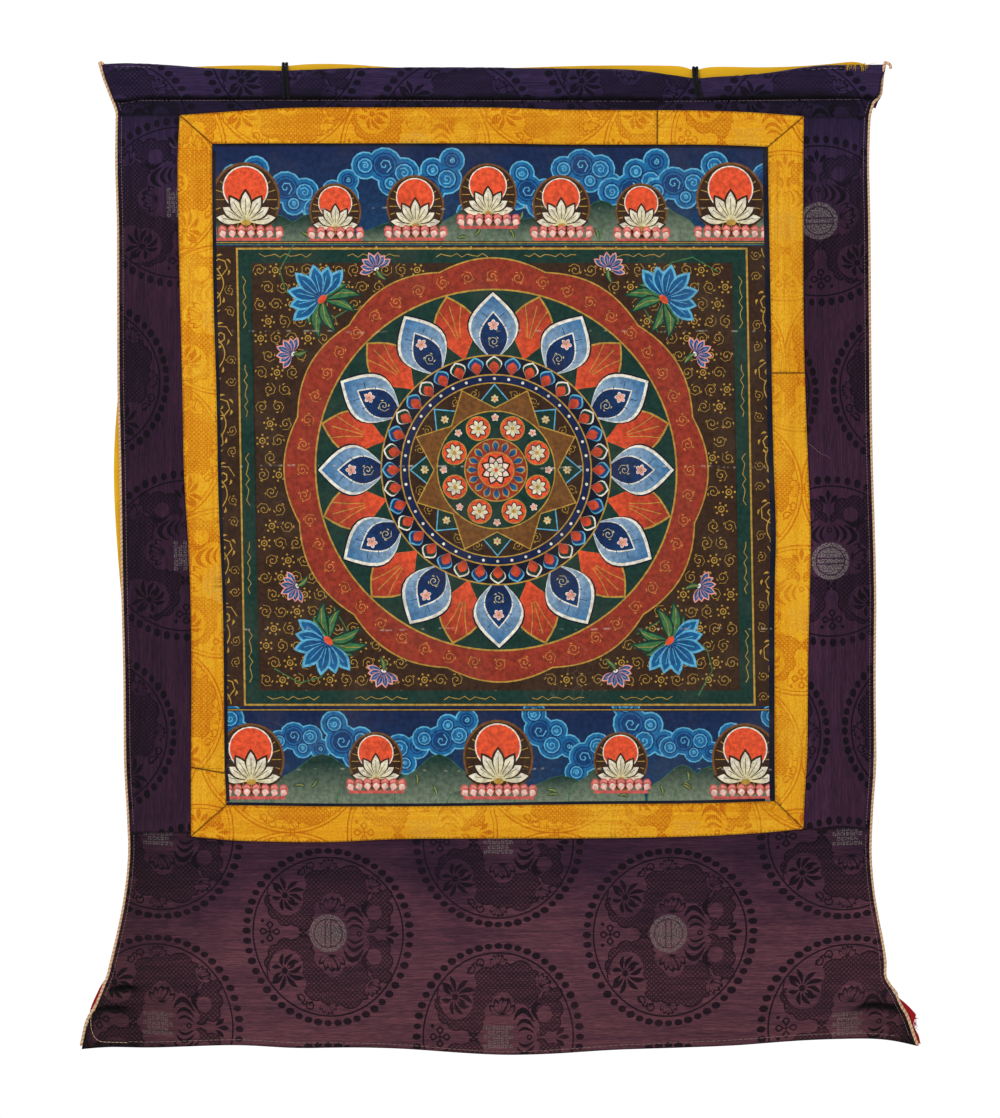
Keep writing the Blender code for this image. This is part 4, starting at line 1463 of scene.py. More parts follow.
def paint_band(panel, foot, lotuses, seed):
    """A band of night sky with hills, cloud banks and lotus flowers in front of round red suns."""
    dice = random.Random(seed)
    wide, top = PANEL_RIGHT - PANEL_LEFT, foot + BAND + 4
    sky = rectangle(complex(PANEL_LEFT, foot - 4), complex(PANEL_RIGHT, top))
    panel.add(sky, NAVY, SKY_FOOT, (top * 1j, foot * 1j))
    for n in range(13):
        x = PANEL_LEFT + 12 + (wide - 24) * n / 12 + dice.uniform(-5, 5)
        y = foot + dice.uniform(36, 66)
        if abs(x) > 34 or y < foot + 44:
            panel.stamp(cloud(dice.uniform(17, 23)), complex(x, y), dice.uniform(-50, 50), mirror=n % 2 == 1)
    for n in range(11):
        x = PANEL_LEFT + wide * (n + 0.5) / 11 + dice.uniform(-14, 14)
        height, width = dice.uniform(16, 38), dice.uniform(30, 44)
        hill = [complex(x + width * math.cos(a), foot + height * math.sin(a) * (1 + 0.12 * math.sin(5 * a)))
                for a in (math.pi * t / 16 for t in range(17))]
        panel.edged(hill, GREEN, LEAF, 0.7, HILL, ((foot + height) * 1j, foot * 1j))
        for _ in range(2):
            root = complex(x + dice.uniform(-20, 20), foot + dice.uniform(4, 20))
            panel.stamp(leafy(10), root, dice.uniform(20, 160))
    for x, rise, size in lotuses:
        place = complex(x, foot + rise)
        middle, sun = place + 26j * size, place + 33j * size
        panel.dot(middle, 22 * size, 30, EARTH, 1.08)
        panel.dot(middle, 20.6 * size, 30, BROWN, 1.08)
        for n in range(20):
            panel.line([middle + cmath.rect(r * size, math.tau * n / 20) for r in (13.5, 19.8)], 0.6, GILT)
        panel.dot(sun, 14.5 * size, 26, BONE)
        panel.dot(sun, 13.7 * size, 26, FLAME)
        panel.stamp(lotus(21 * size, CREAM, BROWN, BONE, GILT), place + 12j * size)
        panel.stamp(lotus_base(44 * size), place + 2j)


def sides_of(low, high):
    """The four sides of an upright rectangle, each from its lower or left end."""
    foot, top = complex(high.real, low.imag), complex(low.real, high.imag)
    return (low, foot), (top, high), (low, top), (foot, high)


def paint_scrolls(panel):
    """Small gold scrolls and rosettes all over the field's brown ground, outside the medallion."""
    small, round_one = scroll(5.8, 2), rosette(6.1)
    for row in range(27):
        for column in range(32):
            place = complex(-202 + 13.4 * (column + 0.5 * (row % 2)), FIELD_FOOT + 8 + 14.5 * row)
            if abs(place - PANEL_CENTRE) > 181 and -200 < place.real < 206:
                pick = round_one if (row + 2 * column) % 3 == 0 else small
                panel.stamp(pick, place, 70 * column + 130 * row, mirror=(row + column) % 2 == 0)


def paint_vines(panel):
    """The two waving gold vines beside the field, with a scroll in each of their bends."""
    bends, steps = 13, 12
    low, high = FIELD_FOOT + 2, FIELD_TOP - 2
    for side in (-233.5, 239.0):
        swings = [side + 7.5 * math.cos(math.pi * n / steps) for n in range(bends * steps + 1)]
        vine = [complex(x, mix(low, high, n / (bends * steps))) for n, x in enumerate(swings)]
        panel.line(vine, 0.9, GILT)
        for n in range(bends):
            height = mix(low, high, (n + 0.5) / bends)
            way = 1 if n % 2 else -1
            panel.stamp(scroll(10.5, 5), complex(side - 3.5 * way, height), 90 * n, mirror=n % 2 == 0)
            for apart in (-1, 1):
                place = complex(side + 12.5 * way, height + 9 * apart)
                panel.stamp(scroll(4.6, 2), place, 60 * n, mirror=apart > 0)


def paint_border(panel, outer, inner):
    """A green border between gold lines, with a gold wave in it."""
    for grow, colour in ((0.0, GILT), (0.8, GREEN)):
        for start, end in sides_of(outer + complex(grow, grow), inner - complex(grow, grow)):
            reach = (end - start) / abs(end - start) * (6.5 - grow)
            panel.line([start - reach, end + reach], 13 - 2 * grow, colour)
    for start, end in sides_of(outer, inner):
        way = end - start
        count = int(abs(way) / 2.2)
        crest = way / abs(way) * 1j * 1.6
        wave = [start + way * n / count + crest * math.sin(n * 1.25) for n in range(count + 1)]
        for first in range(6, count - 16, 34):
            panel.line(wave[first:first + 22:2], 0.6, GILT)


def paint_corner(panel, turn):
    """A large blue lotus among leaves in one corner of the field, with a small one on either side."""
    place = PANEL_CENTRE + polar(218, turn)
    for side in (-38, 38):
        stem = [place + polar(22 + 9 * t, turn + 90 + side * (1 + t)) for t in (-1, 0, 1, 2)]
        panel.line(stem, 1.0, LEAF)
    for side, size in ((-128, 30), (-100, 34), (-74, 26), (74, 26), (100, 34), (128, 30)):
        panel.stamp(leafy(size), place - polar(14, turn), turn + side, mirror=side < 0)
    panel.stamp(lotus(31, CLOUD_DEEP, CLOUD_LIGHT, CLOUD, FLAME), place - polar(12, turn), turn - 90)
    for side in (-1, 1):
        spot = place + polar(58, turn + side * 118)
        panel.stamp(lotus(15, CLOUD_DEEP, PINK, CLOUD, BONE), spot, turn - 90 + side * 20)
        panel.stamp(leafy(14), spot, turn + 180 + side * 30)


def disc(panel, radius, fill_radius, fill):
    """A disc round the panel's middle with a gold rim."""
    panel.dot(PANEL_CENTRE, radius, 72, GILT)
    panel.dot(PANEL_CENTRE, fill_radius, 72, fill)


def around(count, radius, start=0.0):
    """Places at even steps round the panel's middle, each with its direction in degrees."""
    for n in range(count):
        turn = start + 360 * n / count
        yield PANEL_CENTRE + polar(radius, turn), turn


def leaves(panel, place, turn, *shapes):
    """Petals over one another on one root. Each has a shape, a colour and perhaps a second colour, with
    how far out the petal takes it on.
    """
    for shape, colour, *rest in shapes:
        if rest:
            other, reach = rest
            panel.leaf(shape, place, turn, colour, other, (place, place + polar(reach, turn)))
        else:
            panel.leaf(shape, place, turn, colour)


def paint_great_petals(panel):
    """The medallion's two rows of twelve large petals."""
    for place, turn in around(12, 96, 15):
        leaves(panel, place, turn, ((57, 36, 0.55, 9), GILT), ((55, 34, 0.55, 9), FLAME, BRICK, 57))
        for side in (-0.22, 0, 0.22):
            vein = [place + cmath.rect(r, math.radians(turn) + side * r / 50) for r in (20, 34, 48)]
            panel.line(vein, 0.7, GILT)
    for place, turn in around(12, 92):
        leaves(
            panel, place, turn,
            ((60.5, 45, 0.5, 11), NIGHT), ((59, 42.5, 0.5, 11), BONE), ((56, 38.5, 0.5, 11), ICE, CLOUD, 60),
            ((43, 25, 0.5, 9), BONE), ((41.5, 23, 0.5, 9), NAVY, CLOUD_DEEP, 60),
        )
        for side in (-1, 1):
            for step in range(3):
                base = place + polar(13 + 10 * step, turn)
                hair = [base + polar(r, turn + side * (58 - 5 * step)) for r in (6.5, 15 - step)]
                panel.line(hair, 0.6, CLOUD_DEEP)
        panel.stamp(scroll(5.2, 3, CREAM), place + polar(17, turn), turn)
        panel.stamp(blossom(5, 5, 3.4, PINK, BONE, GILT), place + polar(31, turn), turn)


def paint_star(panel):
    """Two eight-pointed stars, one turned against the other, with a blossom on each point."""
    for start, edge, fill in ((0, CLOUD_LIGHT, GREEN), (22.5, GILT, EARTH)):
        star = []
        for n in range(8):
            star += [polar(72, start + 45 * n), polar(52, start + 45 * n + 22.5)]
        panel.edged(moved(star, PANEL_CENTRE), fill, edge, 1.3)
    for place, turn in around(8, 60.5):
        panel.stamp(blossom(6, 4.2, 3.0, CREAM, BROWN, FLAME), place, turn)


def paint_medallion(panel):
    """Rings of lotus petals round a star of discs, from the outside in."""
    lobed = [PANEL_CENTRE + cmath.rect(173 + 6.5 * abs(math.cos(6 * math.tau * n / 192)), math.tau * n / 192)
             for n in range(192)]
    panel.edged(lobed, BRICK, GILT, 1.2)
    panel.dot(PANEL_CENTRE, 154, 96, GILT)
    for n, (place, turn) in enumerate(around(48, 164.5)):
        panel.stamp(scroll(5.6, 3, AMBER), place, turn * 3, mirror=n % 2 == 0)
    panel.dot(PANEL_CENTRE, 152.6, 96, GREEN)
    paint_great_petals(panel)
    disc(panel, 98, 96.8, NIGHT)
    for n, (place, turn) in enumerate(around(36, 80)):
        edge, fill = (BONE, GREEN) if n % 2 else (CLOUD_LIGHT, CLOUD_DEEP)
        heart = (12.5, 8.6, 0.62, 6), BRICK, FLAME, 15
        leaves(panel, place, turn, ((17, 14, 0.62, 7), edge), ((15.6, 12, 0.62, 7), fill), heart)
    disc(panel, 81.5, 80.3, NAVY)
    for place, _ in around(40, 77.6):
        panel.dot(place, 1.3, 7, BONE)
    disc(panel, 74.4, 73.4, BROWN)
    for place, turn in around(24, 66.5):
        panel.stamp(scroll(4.6, 2), place, turn * 2)
    paint_star(panel)
    disc(panel, 50.5, 49.5, GREEN)
    for place, turn in around(8, 38, 22.5):
        panel.dot(place, 10.6, 18, GILT)
        panel.dot(place, 9.8, 18, FLAME)
        panel.stamp(blossom(7, 8.6, 5.0, CREAM, BROWN, GILT, BONE), place, turn)
    for place, turn in around(8, 44.5):
        panel.stamp(blossom(5, 3.4, 2.4, PINK, BONE, GILT), place, turn)
    disc(panel, 27, 26, BRICK)
    for place, turn in around(16, 15):
        leaves(panel, place, turn, ((10.4, 6.4, 0.6, 6), GILT), ((9.2, 4.6, 0.6, 6), NAVY, CLOUD, 9))
    disc(panel, 15.6, 14.8, FLAME)
    panel.stamp(blossom(8, 13.6, 7.6, PINK, BROWN, GILT, BONE), PANEL_CENTRE, 22.5)
    panel.stamp(blossom(8, 8.6, 5.0, CREAM, BROWN, FLAME, BONE), PANEL_CENTRE)


def paint_panel():
    """The whole painted design: sky bands above and below, and the field between them."""
    panel = Drawing()
    panel.add(rectangle(-300 - 700j, 300 + 0j), NIGHT)
    paint_band(panel, -150.5, TOP_LOTUSES, 4)
    paint_band(panel, -626.0, FOOT_LOTUSES, 9)
    panel.add(rectangle(complex(PANEL_LEFT, FIELD_FOOT), complex(PANEL_RIGHT, FIELD_TOP)), BROWN)
    paint_scrolls(panel)
    paint_vines(panel)
    paint_border(panel, -208.5 - 536j, 213 - 160j)
    for turn in (45, 135, 225, 315):
        paint_corner(panel, turn)
    paint_medallion(panel)
    for height in (-149.0, -546.0):
        for width, colour in ((2.4, NIGHT), (0.8, GILT)):
            panel.line([complex(PANEL_LEFT, height), complex(PANEL_RIGHT, height)], width, colour)
    leaning = panel.bent(lambda point: point + PANEL_LEAN * (PANEL_CENTRE.imag - point.imag))
    # A dark line along the gold frame's inner edge: partly the painting's own dark border, and partly painted
    # shade where the frame's edge meets the canvas.
    for side, width in (("top", 5.0), ("left", 6.0), ("right", 9.0), ("bottom", 5.0)):
        leaning.line(frame_edge(side, 0.0), width, NIGHT)
    return leaning


# ---------- lining and silk


class THANGKA_OT_lining(bpy.types.Operator):
    """Makes the plain red backing"""

    bl_idname = "thangka.lining"
    bl_label = "Lining"

    def execute(self, context):
        cloth = Cloth("lining", levels=2)
        thing = make_cloth("lining_cloth", cloth, grow=draw_in, cell=8 * MM)
        declare_cloth(thing, cloth, "red lining")
        return {"FINISHED"}


def draw_in(point):
    """The lining's edge draws in behind the piping at the foot's two corners."""
    x, z = point.real, point.imag
    left = 0.2 * bump(z + 785, 34) * (x < -300)
    right = (3.0 * bump(z + 814, 9) + 0.8 * smooth_step((-803 - z) / 9)) * (x > 300)
    return point + left - right


class THANGKA_OT_silk_cover(bpy.types.Operator):
    """Makes the thin yellow silk that hangs down the back from the top edge"""

    bl_idname = "thangka.silk_cover"
    bl_label = "Silk Cover"

    def execute(self, context):
        cloth = Cloth("veil", levels=2)
        thing = make_cloth("veil_silk", cloth, relief=silk_folds, grow=silk_edge, cell=5 * MM, thin=True)
        declare_cloth(thing, cloth, "yellow silk")
        return {"FINISHED"}


def silk_edge(point):
    """The silk shows a little more beside the mount's left edge at two heights."""
    out = 1.8 * bump(point.imag + 68, 34) + 2.4 * bump(point.imag + 345, 110)
    return point - out * (point.real < -300)


def silk_folds(point):
    """Soft upright folds of the silk, deeper towards its free lower edge; they go backwards only."""
    x, z = point.real, point.imag
    free = smooth_step((-60 - z) / 420)
    wander = x + 18 * rough_at(0.3, z / 160, 2.0)
    depth = (0.5 + 0.5 * math.sin(wander / 15 + 1.8 * math.sin(wander / 67))) ** 1.7
    strength = 0.55 + 0.9 * abs(rough_at(x / 120, z / 420, 5.0))
    return -depth * strength * mix(1.0, 9.0, free) * MM


# ---------- cords and threads


def frames(path):
    """Each step of a path: its number, its place, and two directions across it that twist very little."""
    normal, last = None, len(path) - 1
    for n, place in enumerate(path):
        way = (path[min(n + 1, last)] - path[max(n - 1, 0)]).normalized()
        if normal is None:
            normal = way.orthogonal().normalized()
        normal = (normal - way * normal.dot(way)).normalized()
        yield n, place, normal, way.cross(normal)


class Thread:
    """Closed round threads gathered into one mesh."""

    def __init__(self):
        self.verts, self.faces = [], []

    def run(self, path, radius, sides=6, taper=0.0, thickness=None):
        """Sweeps a round section along the path; taper thins its end, and thickness scales it by place."""
        last = len(path) - 1
        first = len(self.verts)
        for n, place, normal, across in frames(path):
            size = radius * (1 - taper * (n / last) ** 2) * (thickness(place) if thickness else 1)
            start = first + n * sides
            for side in range(sides):
                angle = math.tau * side / sides
                self.verts.append(place + (normal * math.cos(angle) + across * math.sin(angle)) * size)
                if n:
                    ahead = start + (side + 1) % sides
                    self.faces.append((start + side - sides, ahead - sides, ahead, start + side))
        self.faces.append(tuple(range(first + sides - 1, first - 1, -1)))
        self.faces.append(tuple(range(start, start + sides)))

    def ply(self, path, radius, pitch, count, which, swing, thickness=None):
        """One strand of a twisted cord: it winds round the path at the given swing."""
        wound, turned = [], math.tau * which / count
        for n, place, normal, across in frames(path):
            if n:
                turned += math.tau * (place - path[n - 1]).length / pitch
            out = swing * (thickness(place) if thickness else 1)
            wound.append(place + (normal * math.cos(turned) + across * math.sin(turned)) * out)
        self.run(wound, radius, thickness=thickness)

    def stitch(self, places, radius):
        """A short thread that comes up out of the cloth and goes down again; places are (place, normal)."""
        path = []
        for n, (place, normal) in enumerate(places):
            sunk = n in (0, len(places) - 1)
            path.append(place + normal * (-radius * 1.4 if sunk else radius * 0.55))
        self.run(path, radius, 5)

    def fray(self, places, radius, taper=0.0):
        """A fine loose thread through places in millimetres."""
        self.run(even_path([Vector(place) * MM for place in places], 0.5 * MM), radius * MM, 4, taper)

    def make(self, name, material, slot, nodes=()):
        mesh = bpy.data.meshes.new(name)
        mesh.from_pydata(self.verts, [], self.faces)
        mesh.shade_smooth()
        mesh.update()
        declare(put(name, mesh), material, nodes)


CORD_SIDES = 8  # corners in each ring of a packed cord


def cord_centre(node):
    """The middle line of a packed cord, from its rings of corners."""
    source = welded(node)
    spots = sorted((vert.co.copy() for vert in source.verts), key=lambda spot: -spot.z)
    source.free()
    rings = [spots[n:n + CORD_SIDES] for n in range(0, len(spots), CORD_SIDES)]
    return [sum(ring, Vector()) / CORD_SIDES for ring in rings]


PIPING_TUCK = -0.5  # how far the piping is drawn in against the cloth's edge
PIPING_STRAND, PIPING_SWING = 0.84 * MM, 0.76 * MM  # a strand's radius, and how far it winds from the middle
PIPING_STEP = 0.55 * MM  # from one ring of a strand to the next
# The piping's loose upper ends curl over the corners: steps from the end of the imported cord
PIPING_CURLS = {
    "left": ((3.0, -0.8, -0.6), (1.3, -0.6, 0.5), (-0.1, -0.3, 0.4)),
    "right": ((5.0, -0.6, -4.2), (4.6, -0.6, -1.6), (2.5, -0.4, 0.2), (0.7, -0.2, 0.4)),
}


def piping_thickness(place):
    """The piping is tight and thin beside the painting, and full at the top and at the foot."""
    height = place.z / MM
    return mix(0.74, 0.92, max(smooth_step((height + 60) / 50), smooth_step((-700 - height) / 100)))


class THANGKA_OT_piping(bpy.types.Operator):
    """Makes the twisted cream and rust cords sewn along the two side edges"""

    bl_idname = "thangka.piping"
    bl_label = "Piping"

    def execute(self, context):
        for side in ("left", "right"):
            inward = Vector((PIPING_TUCK if side == "left" else -PIPING_TUCK, 0, 0)) * MM
            centre = cord_centre("piping_" + side)
            curl = [centre[0] + Vector(step) * MM for step in PIPING_CURLS[side]]
            path = [place + inward for place in even_path(curl + centre, PIPING_STEP)]
            if side == "right":
                path = [place + Vector((corner_bulge(place.z / MM), 0, 0)) * MM for place in path]
            for colour, strands in (("cream", (0, 1)), ("rust", (2,))):
                cord = Thread()
                for which in strands:
                    cord.ply(
                        path, PIPING_STRAND, sizes().piping_twist, 3, which, PIPING_SWING, piping_thickness
                    )
                cord.make(f"piping_{side}_{colour}", colour + " strand", "piping_cord", ["piping_" + side])
        return {"FINISHED"}


# The ties' route: front end, over the pocket's fold, over the silk, and down the back. Each is its
# place behind the fold's middle and its height from the fold, the silk's top edge or the origin.
TIE_FRONT, TIE_BACK = (-6.1, -26.5), (7.65, -27.5)
TIE_OVER_FOLD = ((-6.1, -4.0), (-5.4, -0.8), (-3.1, 1.7), (0.0, 2.6))
TIE_OVER_SILK = ((3.0, -1.0), (3.8, 1.8), (5.5, 2.6), (7.2, 1.8), (7.65, -1.5))
TIE_APART = 1.55  # from a tie's middle to each of its two cords
# Radius of a plied strand, how far it winds from the cord's middle, its twist and the step of its rings
TIE_STRAND, TIE_SWING, TIE_TWIST, TIE_STEP = 0.92 * MM, 0.6 * MM, 4.8 * MM, 0.45 * MM
# Each tie's side, place across, slant, and heights of the fold and the silk there
TIES = (("left", -177.0, 1.5, -3.4, 1.0), ("right", 172.0, 3.5, -11.0, -2.5))


class THANGKA_OT_ties(bpy.types.Operator):
    """Makes the two dark ties, each of two plied strands looped over the top edge"""

    bl_idname = "thangka.ties"
    bl_label = "Ties"

    def execute(self, context):
        for side, across, slant, fold, silk in TIES:
            route = [TIE_FRONT]
            route += [(y, fold + z) for y, z in TIE_OVER_FOLD]
            route += [(y, silk + z) for y, z in TIE_OVER_SILK]
            route.append(TIE_BACK)
            tie = Thread()
            for apart in (-TIE_APART, TIE_APART):
                points = []
                for n, (y, z) in enumerate(route):
                    lean_in = slant * max((fold - z) / (fold - TIE_FRONT[1]), 0.0)
                    spread = 1.35 if n == 0 else mix(0.7, 1.0, n / len(route))
                    points.append(Vector((across + lean_in + apart * spread, y, z)) * MM)
                path = even_path(points, TIE_STEP)
                for which in (0, 1):
                    tie.ply(path, TIE_STRAND, TIE_TWIST, 2, which, TIE_SWING)
            tie.make("tie_" + side + "_cord", "dark cord", "dark_cord", ["tie_" + side])
        return {"FINISHED"}


# ---------- stitches and loose threads

PATH_STEP = 0.25  # between two points of the path that a row of stitches follows
EDGE_MARGIN = 1.3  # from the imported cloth's edge to the topstitch
# Rows of stitches: radius in millimetres, length and gap; a row without a length has the sizes' own
SIDE_SEAM, CORNER_SEAM = (0.19, 1.8 * MM, 0.9 * MM), (0.22, None, 0.5 * MM)
HEM_SEAM, POCKET_SEAM = (0.2, 3.8 * MM, 0.8 * MM), (0.2, None, 0.45 * MM)
HEM_TURN = {"left": -790, "right": -823}  # where the side topstitch ends
# The stitches turn round the foot's left corner, to the hem
CORNER_STITCHES = (
    -335.5 - 792j, -340 - 800j, -341.3 - 808j, -340.8 - 816.5j,
    -338.3 - 823.4j, -333.2 - 827.2j, -324 - 828j, -310 - 828.4j,
)
FOLD_STITCHES = range(-322, -288, 4), range(270, 322, 4)  # where the pocket's fold is stitched too
RED_THREADS, YELLOW_THREADS = 44, 34  # of the frayed lining and of the frayed silk
SILK_CORNER = 1.4  # height of the top edge where the silk's corner is frayed
# A longer thread of the silk lies over its frayed corner
SILK_END = (313, -1.0, 1.2), (318, -3.0, 1.9), (322, -4.0, 3.0), (326, -4.5, 3.6)
# Loose ends of thread that lie on the mount: beside the frame on the right, and at the upper left
LOOSE_ENDS = (
    (
        (267.4, -5.4, -319.3), (272.0, -5.2, -323.0), (278.5, -5.6, -328.5), (283.0, -5.2, -330.0),
        (287.3, -4.9, -333.0),
    ),
    ((-274.5, -4.9, -64.3), (-273.0, -5.2, -67.0), (-270.5, -5.0, -68.5), (-268.5, -5.1, -68.0)),
)


def sew(thread, cloth, relief, path, radius=0.2, length=None, gap=None, dice=None):
    """Stitches along a flat path on a cloth, at even steps."""
    length = (length or sizes().stitch) / MM
    gap = (gap or sizes().stitch_gap) / MM
    dice = dice or random.Random(11)
    spots = even_path(path, PATH_STEP)
    at = dice.uniform(0, gap)
    while at + length < (len(spots) - 1) * PATH_STEP:
        places = []
        stray = dice.uniform(-0.12, 0.12) * 1j
        for share in (0.0, 0.12, 0.5, 0.88, 1.0):
            spot = spots[int((at + length * share) / PATH_STEP)] + stray * (share - 0.5)
            place, normal = cloth.lift(spot)
            places.append((place + normal * relief(spot), normal))
        thread.stitch(places, radius * MM)
        at += length + gap * dice.uniform(0.8, 1.2)


class THANGKA_OT_stitching(bpy.types.Operator):
    """Makes the topstitches beside the piping, at the hem and along the rod pocket"""

    bl_idname = "thangka.stitching"
    bl_label = "Stitching"

    def execute(self, context):
        cloths = {node: Cloth(node, node == "mount_top", 2) for node in RELIEFS}

        def seam(thread, node, path, *how):
            sew(thread, cloths[node], RELIEFS[node], path, *how)

        for side, pick, margin in (("left", min, EDGE_MARGIN), ("right", max, -EDGE_MARGIN)):
            thread = Thread()
            foot = HEM_TURN[side]
            for node, first, last in (
                ("mount_top", -30, -39.8), ("mount_" + side, -43, -645), ("mount_bottom", -652, foot)
            ):
                levels = [mix(first, last, n / 59) for n in range(60)]
                marks = [(level, crossings(cloths[node].outline, level)) for level in levels]
                path = [complex(pick(found) + margin, level) for level, found in marks if found]
                seam(thread, node, path, *SIDE_SEAM, random.Random(len(path)))
            thread.make("topstitch_" + side, "stitching", "piping_cord")
        corner, hem, pocket = Thread(), Thread(), Thread()
        seam(corner, "mount_bottom", CORNER_STITCHES, *CORNER_SEAM)
        corner.make("topstitch_corner", "cream strand", "piping_cord")
        path = []
        for x in range(-310, 346, 6):
            edge = min(crossings(cloths["mount_bottom"].outline, x, True))
            path.append(complex(x, edge + mix(2.4, 4.7, min(abs(x) / 180, 1))))
        seam(hem, "mount_bottom", path, *HEM_SEAM)
        hem.make("topstitch_hem", "stitching", "piping_cord")
        path = [complex(x, pocket_stitch(x)) for x in range(-316, 318, 6)]
        seam(pocket, "mount_top", path, *POCKET_SEAM)
        for run in FOLD_STITCHES:
            seam(pocket, "mount_top", [complex(x, cloths["mount_top"].top(x * MM) / MM - 3.4) for x in run])
        pocket.make("pocket_stitches", "plum stitching", "plum_brocade")
        return {"FINISHED"}


class THANGKA_OT_loose_threads(bpy.types.Operator):
    """Makes the frayed threads: red at the lower right, yellow at the top right, and pale loose ends"""

    bl_idname = "thangka.loose_threads"
    bl_label = "Loose Threads"

    def execute(self, context):
        dice = random.Random(3)
        red, yellow, pale = Thread(), Thread(), Thread()
        for n in range(RED_THREADS):
            share = n / (RED_THREADS - 1)
            start = Vector((mix(357.0, 357.6, share) + dice.uniform(-1.8, 0.4), -2.4, mix(-807, -821, share)))
            reach = dice.uniform(1.0, 5.0)
            drop = dice.uniform(-3.0, 1.0)
            path = [start]
            for t in (0.2, 0.4, 0.6, 0.8, 1.0):
                sway = dice.uniform(-0.6, 0.6) * t
                path.append(start + Vector((reach * t, sway, drop * t * t + dice.uniform(-0.4, 0.4))))
            red.fray(path, 0.24, 0.3)
        red.make("frayed_lining", "red thread", "red_lining")
        for n in range(YELLOW_THREADS):
            across = mix(300.0, 317.0, n / (YELLOW_THREADS - 1)) + dice.uniform(-0.8, 0.8)
            over = dice.uniform(0.6, 2.2)
            fall = dice.uniform(1.0, 6.0)
            drift = dice.uniform(-2.5, 4.5)
            path = []
            for share, y, z in (
                (0.0, 5.8, -1.0), (0.3, 3.4, over), (0.6, -1.5, over),
                (0.85, -5.4, -fall / 2), (1.0, -5.9, -fall),
            ):
                path.append((across + drift * share * share, y, SILK_CORNER + z))
            yellow.fray(path, 0.16, 0.3)
        yellow.fray(SILK_END, 0.2)
        yellow.make("frayed_silk", "silk thread", "yellow_silk")
        for path in LOOSE_ENDS:
            pale.fray(path, 0.17, 0.4)
        pale.make("loose_ends", "stitching", "piping_cord")
        return {"FINISHED"}


# ---------- stage

VIEW_CENTRE = Vector((5.95, 0.0, -417.9)) * MM  # what the middle of the photo shows
VIEW_HEIGHT = 950.3 * MM  # height of the photo's frame at the cloth
CAMERA_DISTANCE = 5.0
SENSOR = 0.036
FLOOR_HEIGHT, FLOOR_RADIUS = -1.35, 3.2
SURROUND, SURROUND_SEEN = 0.52, 0.53  # how bright the surround shines, and how much brighter it looks
LAMPS = (
    # name, place, size, power
    ("key", (-1.3, -2.2, 1.5), 1.2, 38.0),
    ("fill", (1.6, -2.8, -0.3), 2.0, 8.0),
    ("back", (0.4, 2.6, 0.9), 2.0, 18.0),
)


class THANGKA_OT_stage(bpy.types.Operator):
    """Sets the pale floor, the soft studio light, the white surround and the camera"""

    bl_idname = "thangka.stage"
    bl_label = "Stage"

    def execute(self, context):
        add_camera(context)
        add_lights(context)
        add_floor()
        return {"FINISHED"}


def add_camera(context):
    camera = bpy.data.cameras.new("camera")
    camera.sensor_width = SENSOR * 1000
    camera.lens = SENSOR * 1000 * CAMERA_DISTANCE / VIEW_HEIGHT
    camera.clip_end = 100
    thing = put("camera", camera)
    thing.location = VIEW_CENTRE - Vector((0, CAMERA_DISTANCE, 0))
    thing.rotation_euler = (math.pi / 2, 0, 0)
    context.scene.camera = thing


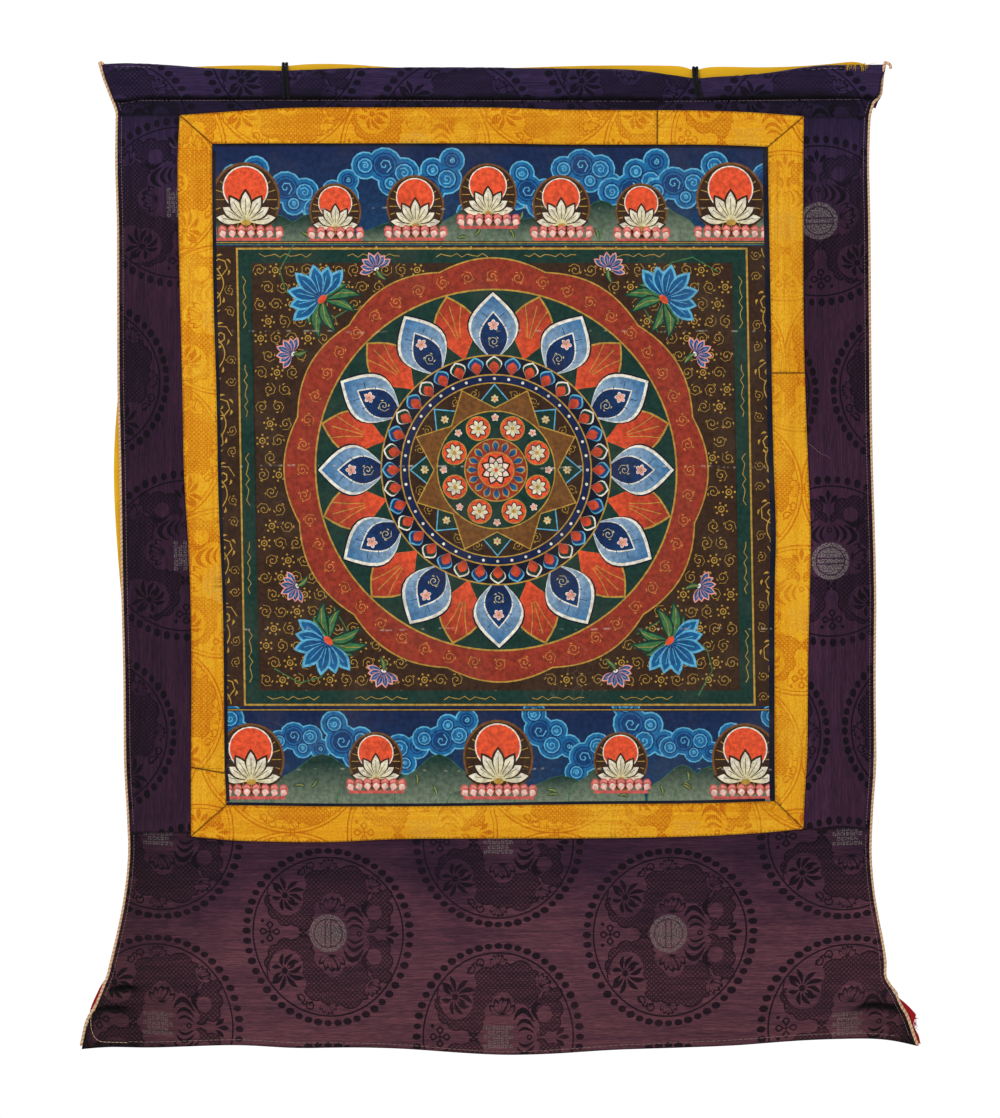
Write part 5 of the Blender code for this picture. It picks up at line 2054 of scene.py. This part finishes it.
def add_lights(context):
    for name, place, size, power in LAMPS:
        lamp = bpy.data.lights.new(name, "AREA")
        lamp.size = size
        lamp.energy = power
        thing = put(name, lamp)
        thing.location = place
        thing.rotation_euler = (VIEW_CENTRE - thing.location).to_track_quat("-Z", "Y").to_euler()
    world = bpy.data.worlds.new("surround")
    world.use_nodes = True
    context.scene.world = world
    nodes = Nodes(world.node_tree)
    background = world.node_tree.nodes["Background"]
    background.inputs["Color"].default_value = (1.0, 1.0, 1.0, 1.0)
    seen = nodes.add("LightPath", output="Is Camera Ray")
    nodes.feed(background.inputs["Strength"], nodes.scale_add(seen, SURROUND_SEEN, SURROUND))
    context.scene.view_settings.view_transform = "Standard"


def add_floor():
    surface = bmesh.new()
    bmesh.ops.create_circle(surface, cap_ends=True, radius=FLOOR_RADIUS, segments=96)
    mesh = bpy.data.meshes.new("floor")
    surface.to_mesh(mesh)
    surface.free()
    mesh.transform(Matrix.Translation((0, 0, FLOOR_HEIGHT)))
    mesh.materials.append(material_named("floor"))
    put("floor", mesh)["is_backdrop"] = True


# ---------- add-on


class THANGKA_PT_panel(bpy.types.Panel):
    """Lists the pieces and their sizes and colours"""

    bl_idname = "THANGKA_PT_panel"
    bl_label = "Thangka"
    bl_space_type = "VIEW_3D"
    bl_region_type = "UI"
    bl_category = "Thangka"

    def draw(self, context):
        for operator in OPERATORS:
            self.layout.operator(operator.bl_idname)
        for group in (context.scene.thangka_sizes, context.scene.thangka_colours):
            column = self.layout.column()
            for name in group.__annotations__:
                column.prop(group, name)


OPERATORS = (
    THANGKA_OT_stage,
    THANGKA_OT_painted_panel,
    THANGKA_OT_gold_frame,
    THANGKA_OT_plum_mount,
    THANGKA_OT_lining,
    THANGKA_OT_silk_cover,
    THANGKA_OT_piping,
    THANGKA_OT_ties,
    THANGKA_OT_stitching,
    THANGKA_OT_loose_threads,
)
CLASSES = (ThangkaSizes, ThangkaColours, *OPERATORS, THANGKA_PT_panel)


def register():
    for cls in CLASSES:
        bpy.utils.register_class(cls)
    bpy.types.Scene.thangka_sizes = PointerProperty(type=ThangkaSizes)
    bpy.types.Scene.thangka_colours = PointerProperty(type=ThangkaColours)


def unregister():
    del bpy.types.Scene.thangka_colours
    del bpy.types.Scene.thangka_sizes
    for cls in reversed(CLASSES):
        bpy.utils.unregister_class(cls)


def main():
    register()
    for operator in OPERATORS:
        family, name = operator.bl_idname.split(".")
        getattr(getattr(bpy.ops, family), name)()
    boxes = {"cad": CAD_BOX, "visual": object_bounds()}
    {name: [list(corner) for corner in box] for name, box in boxes.items()}


if __name__ == "__main__":
    main()
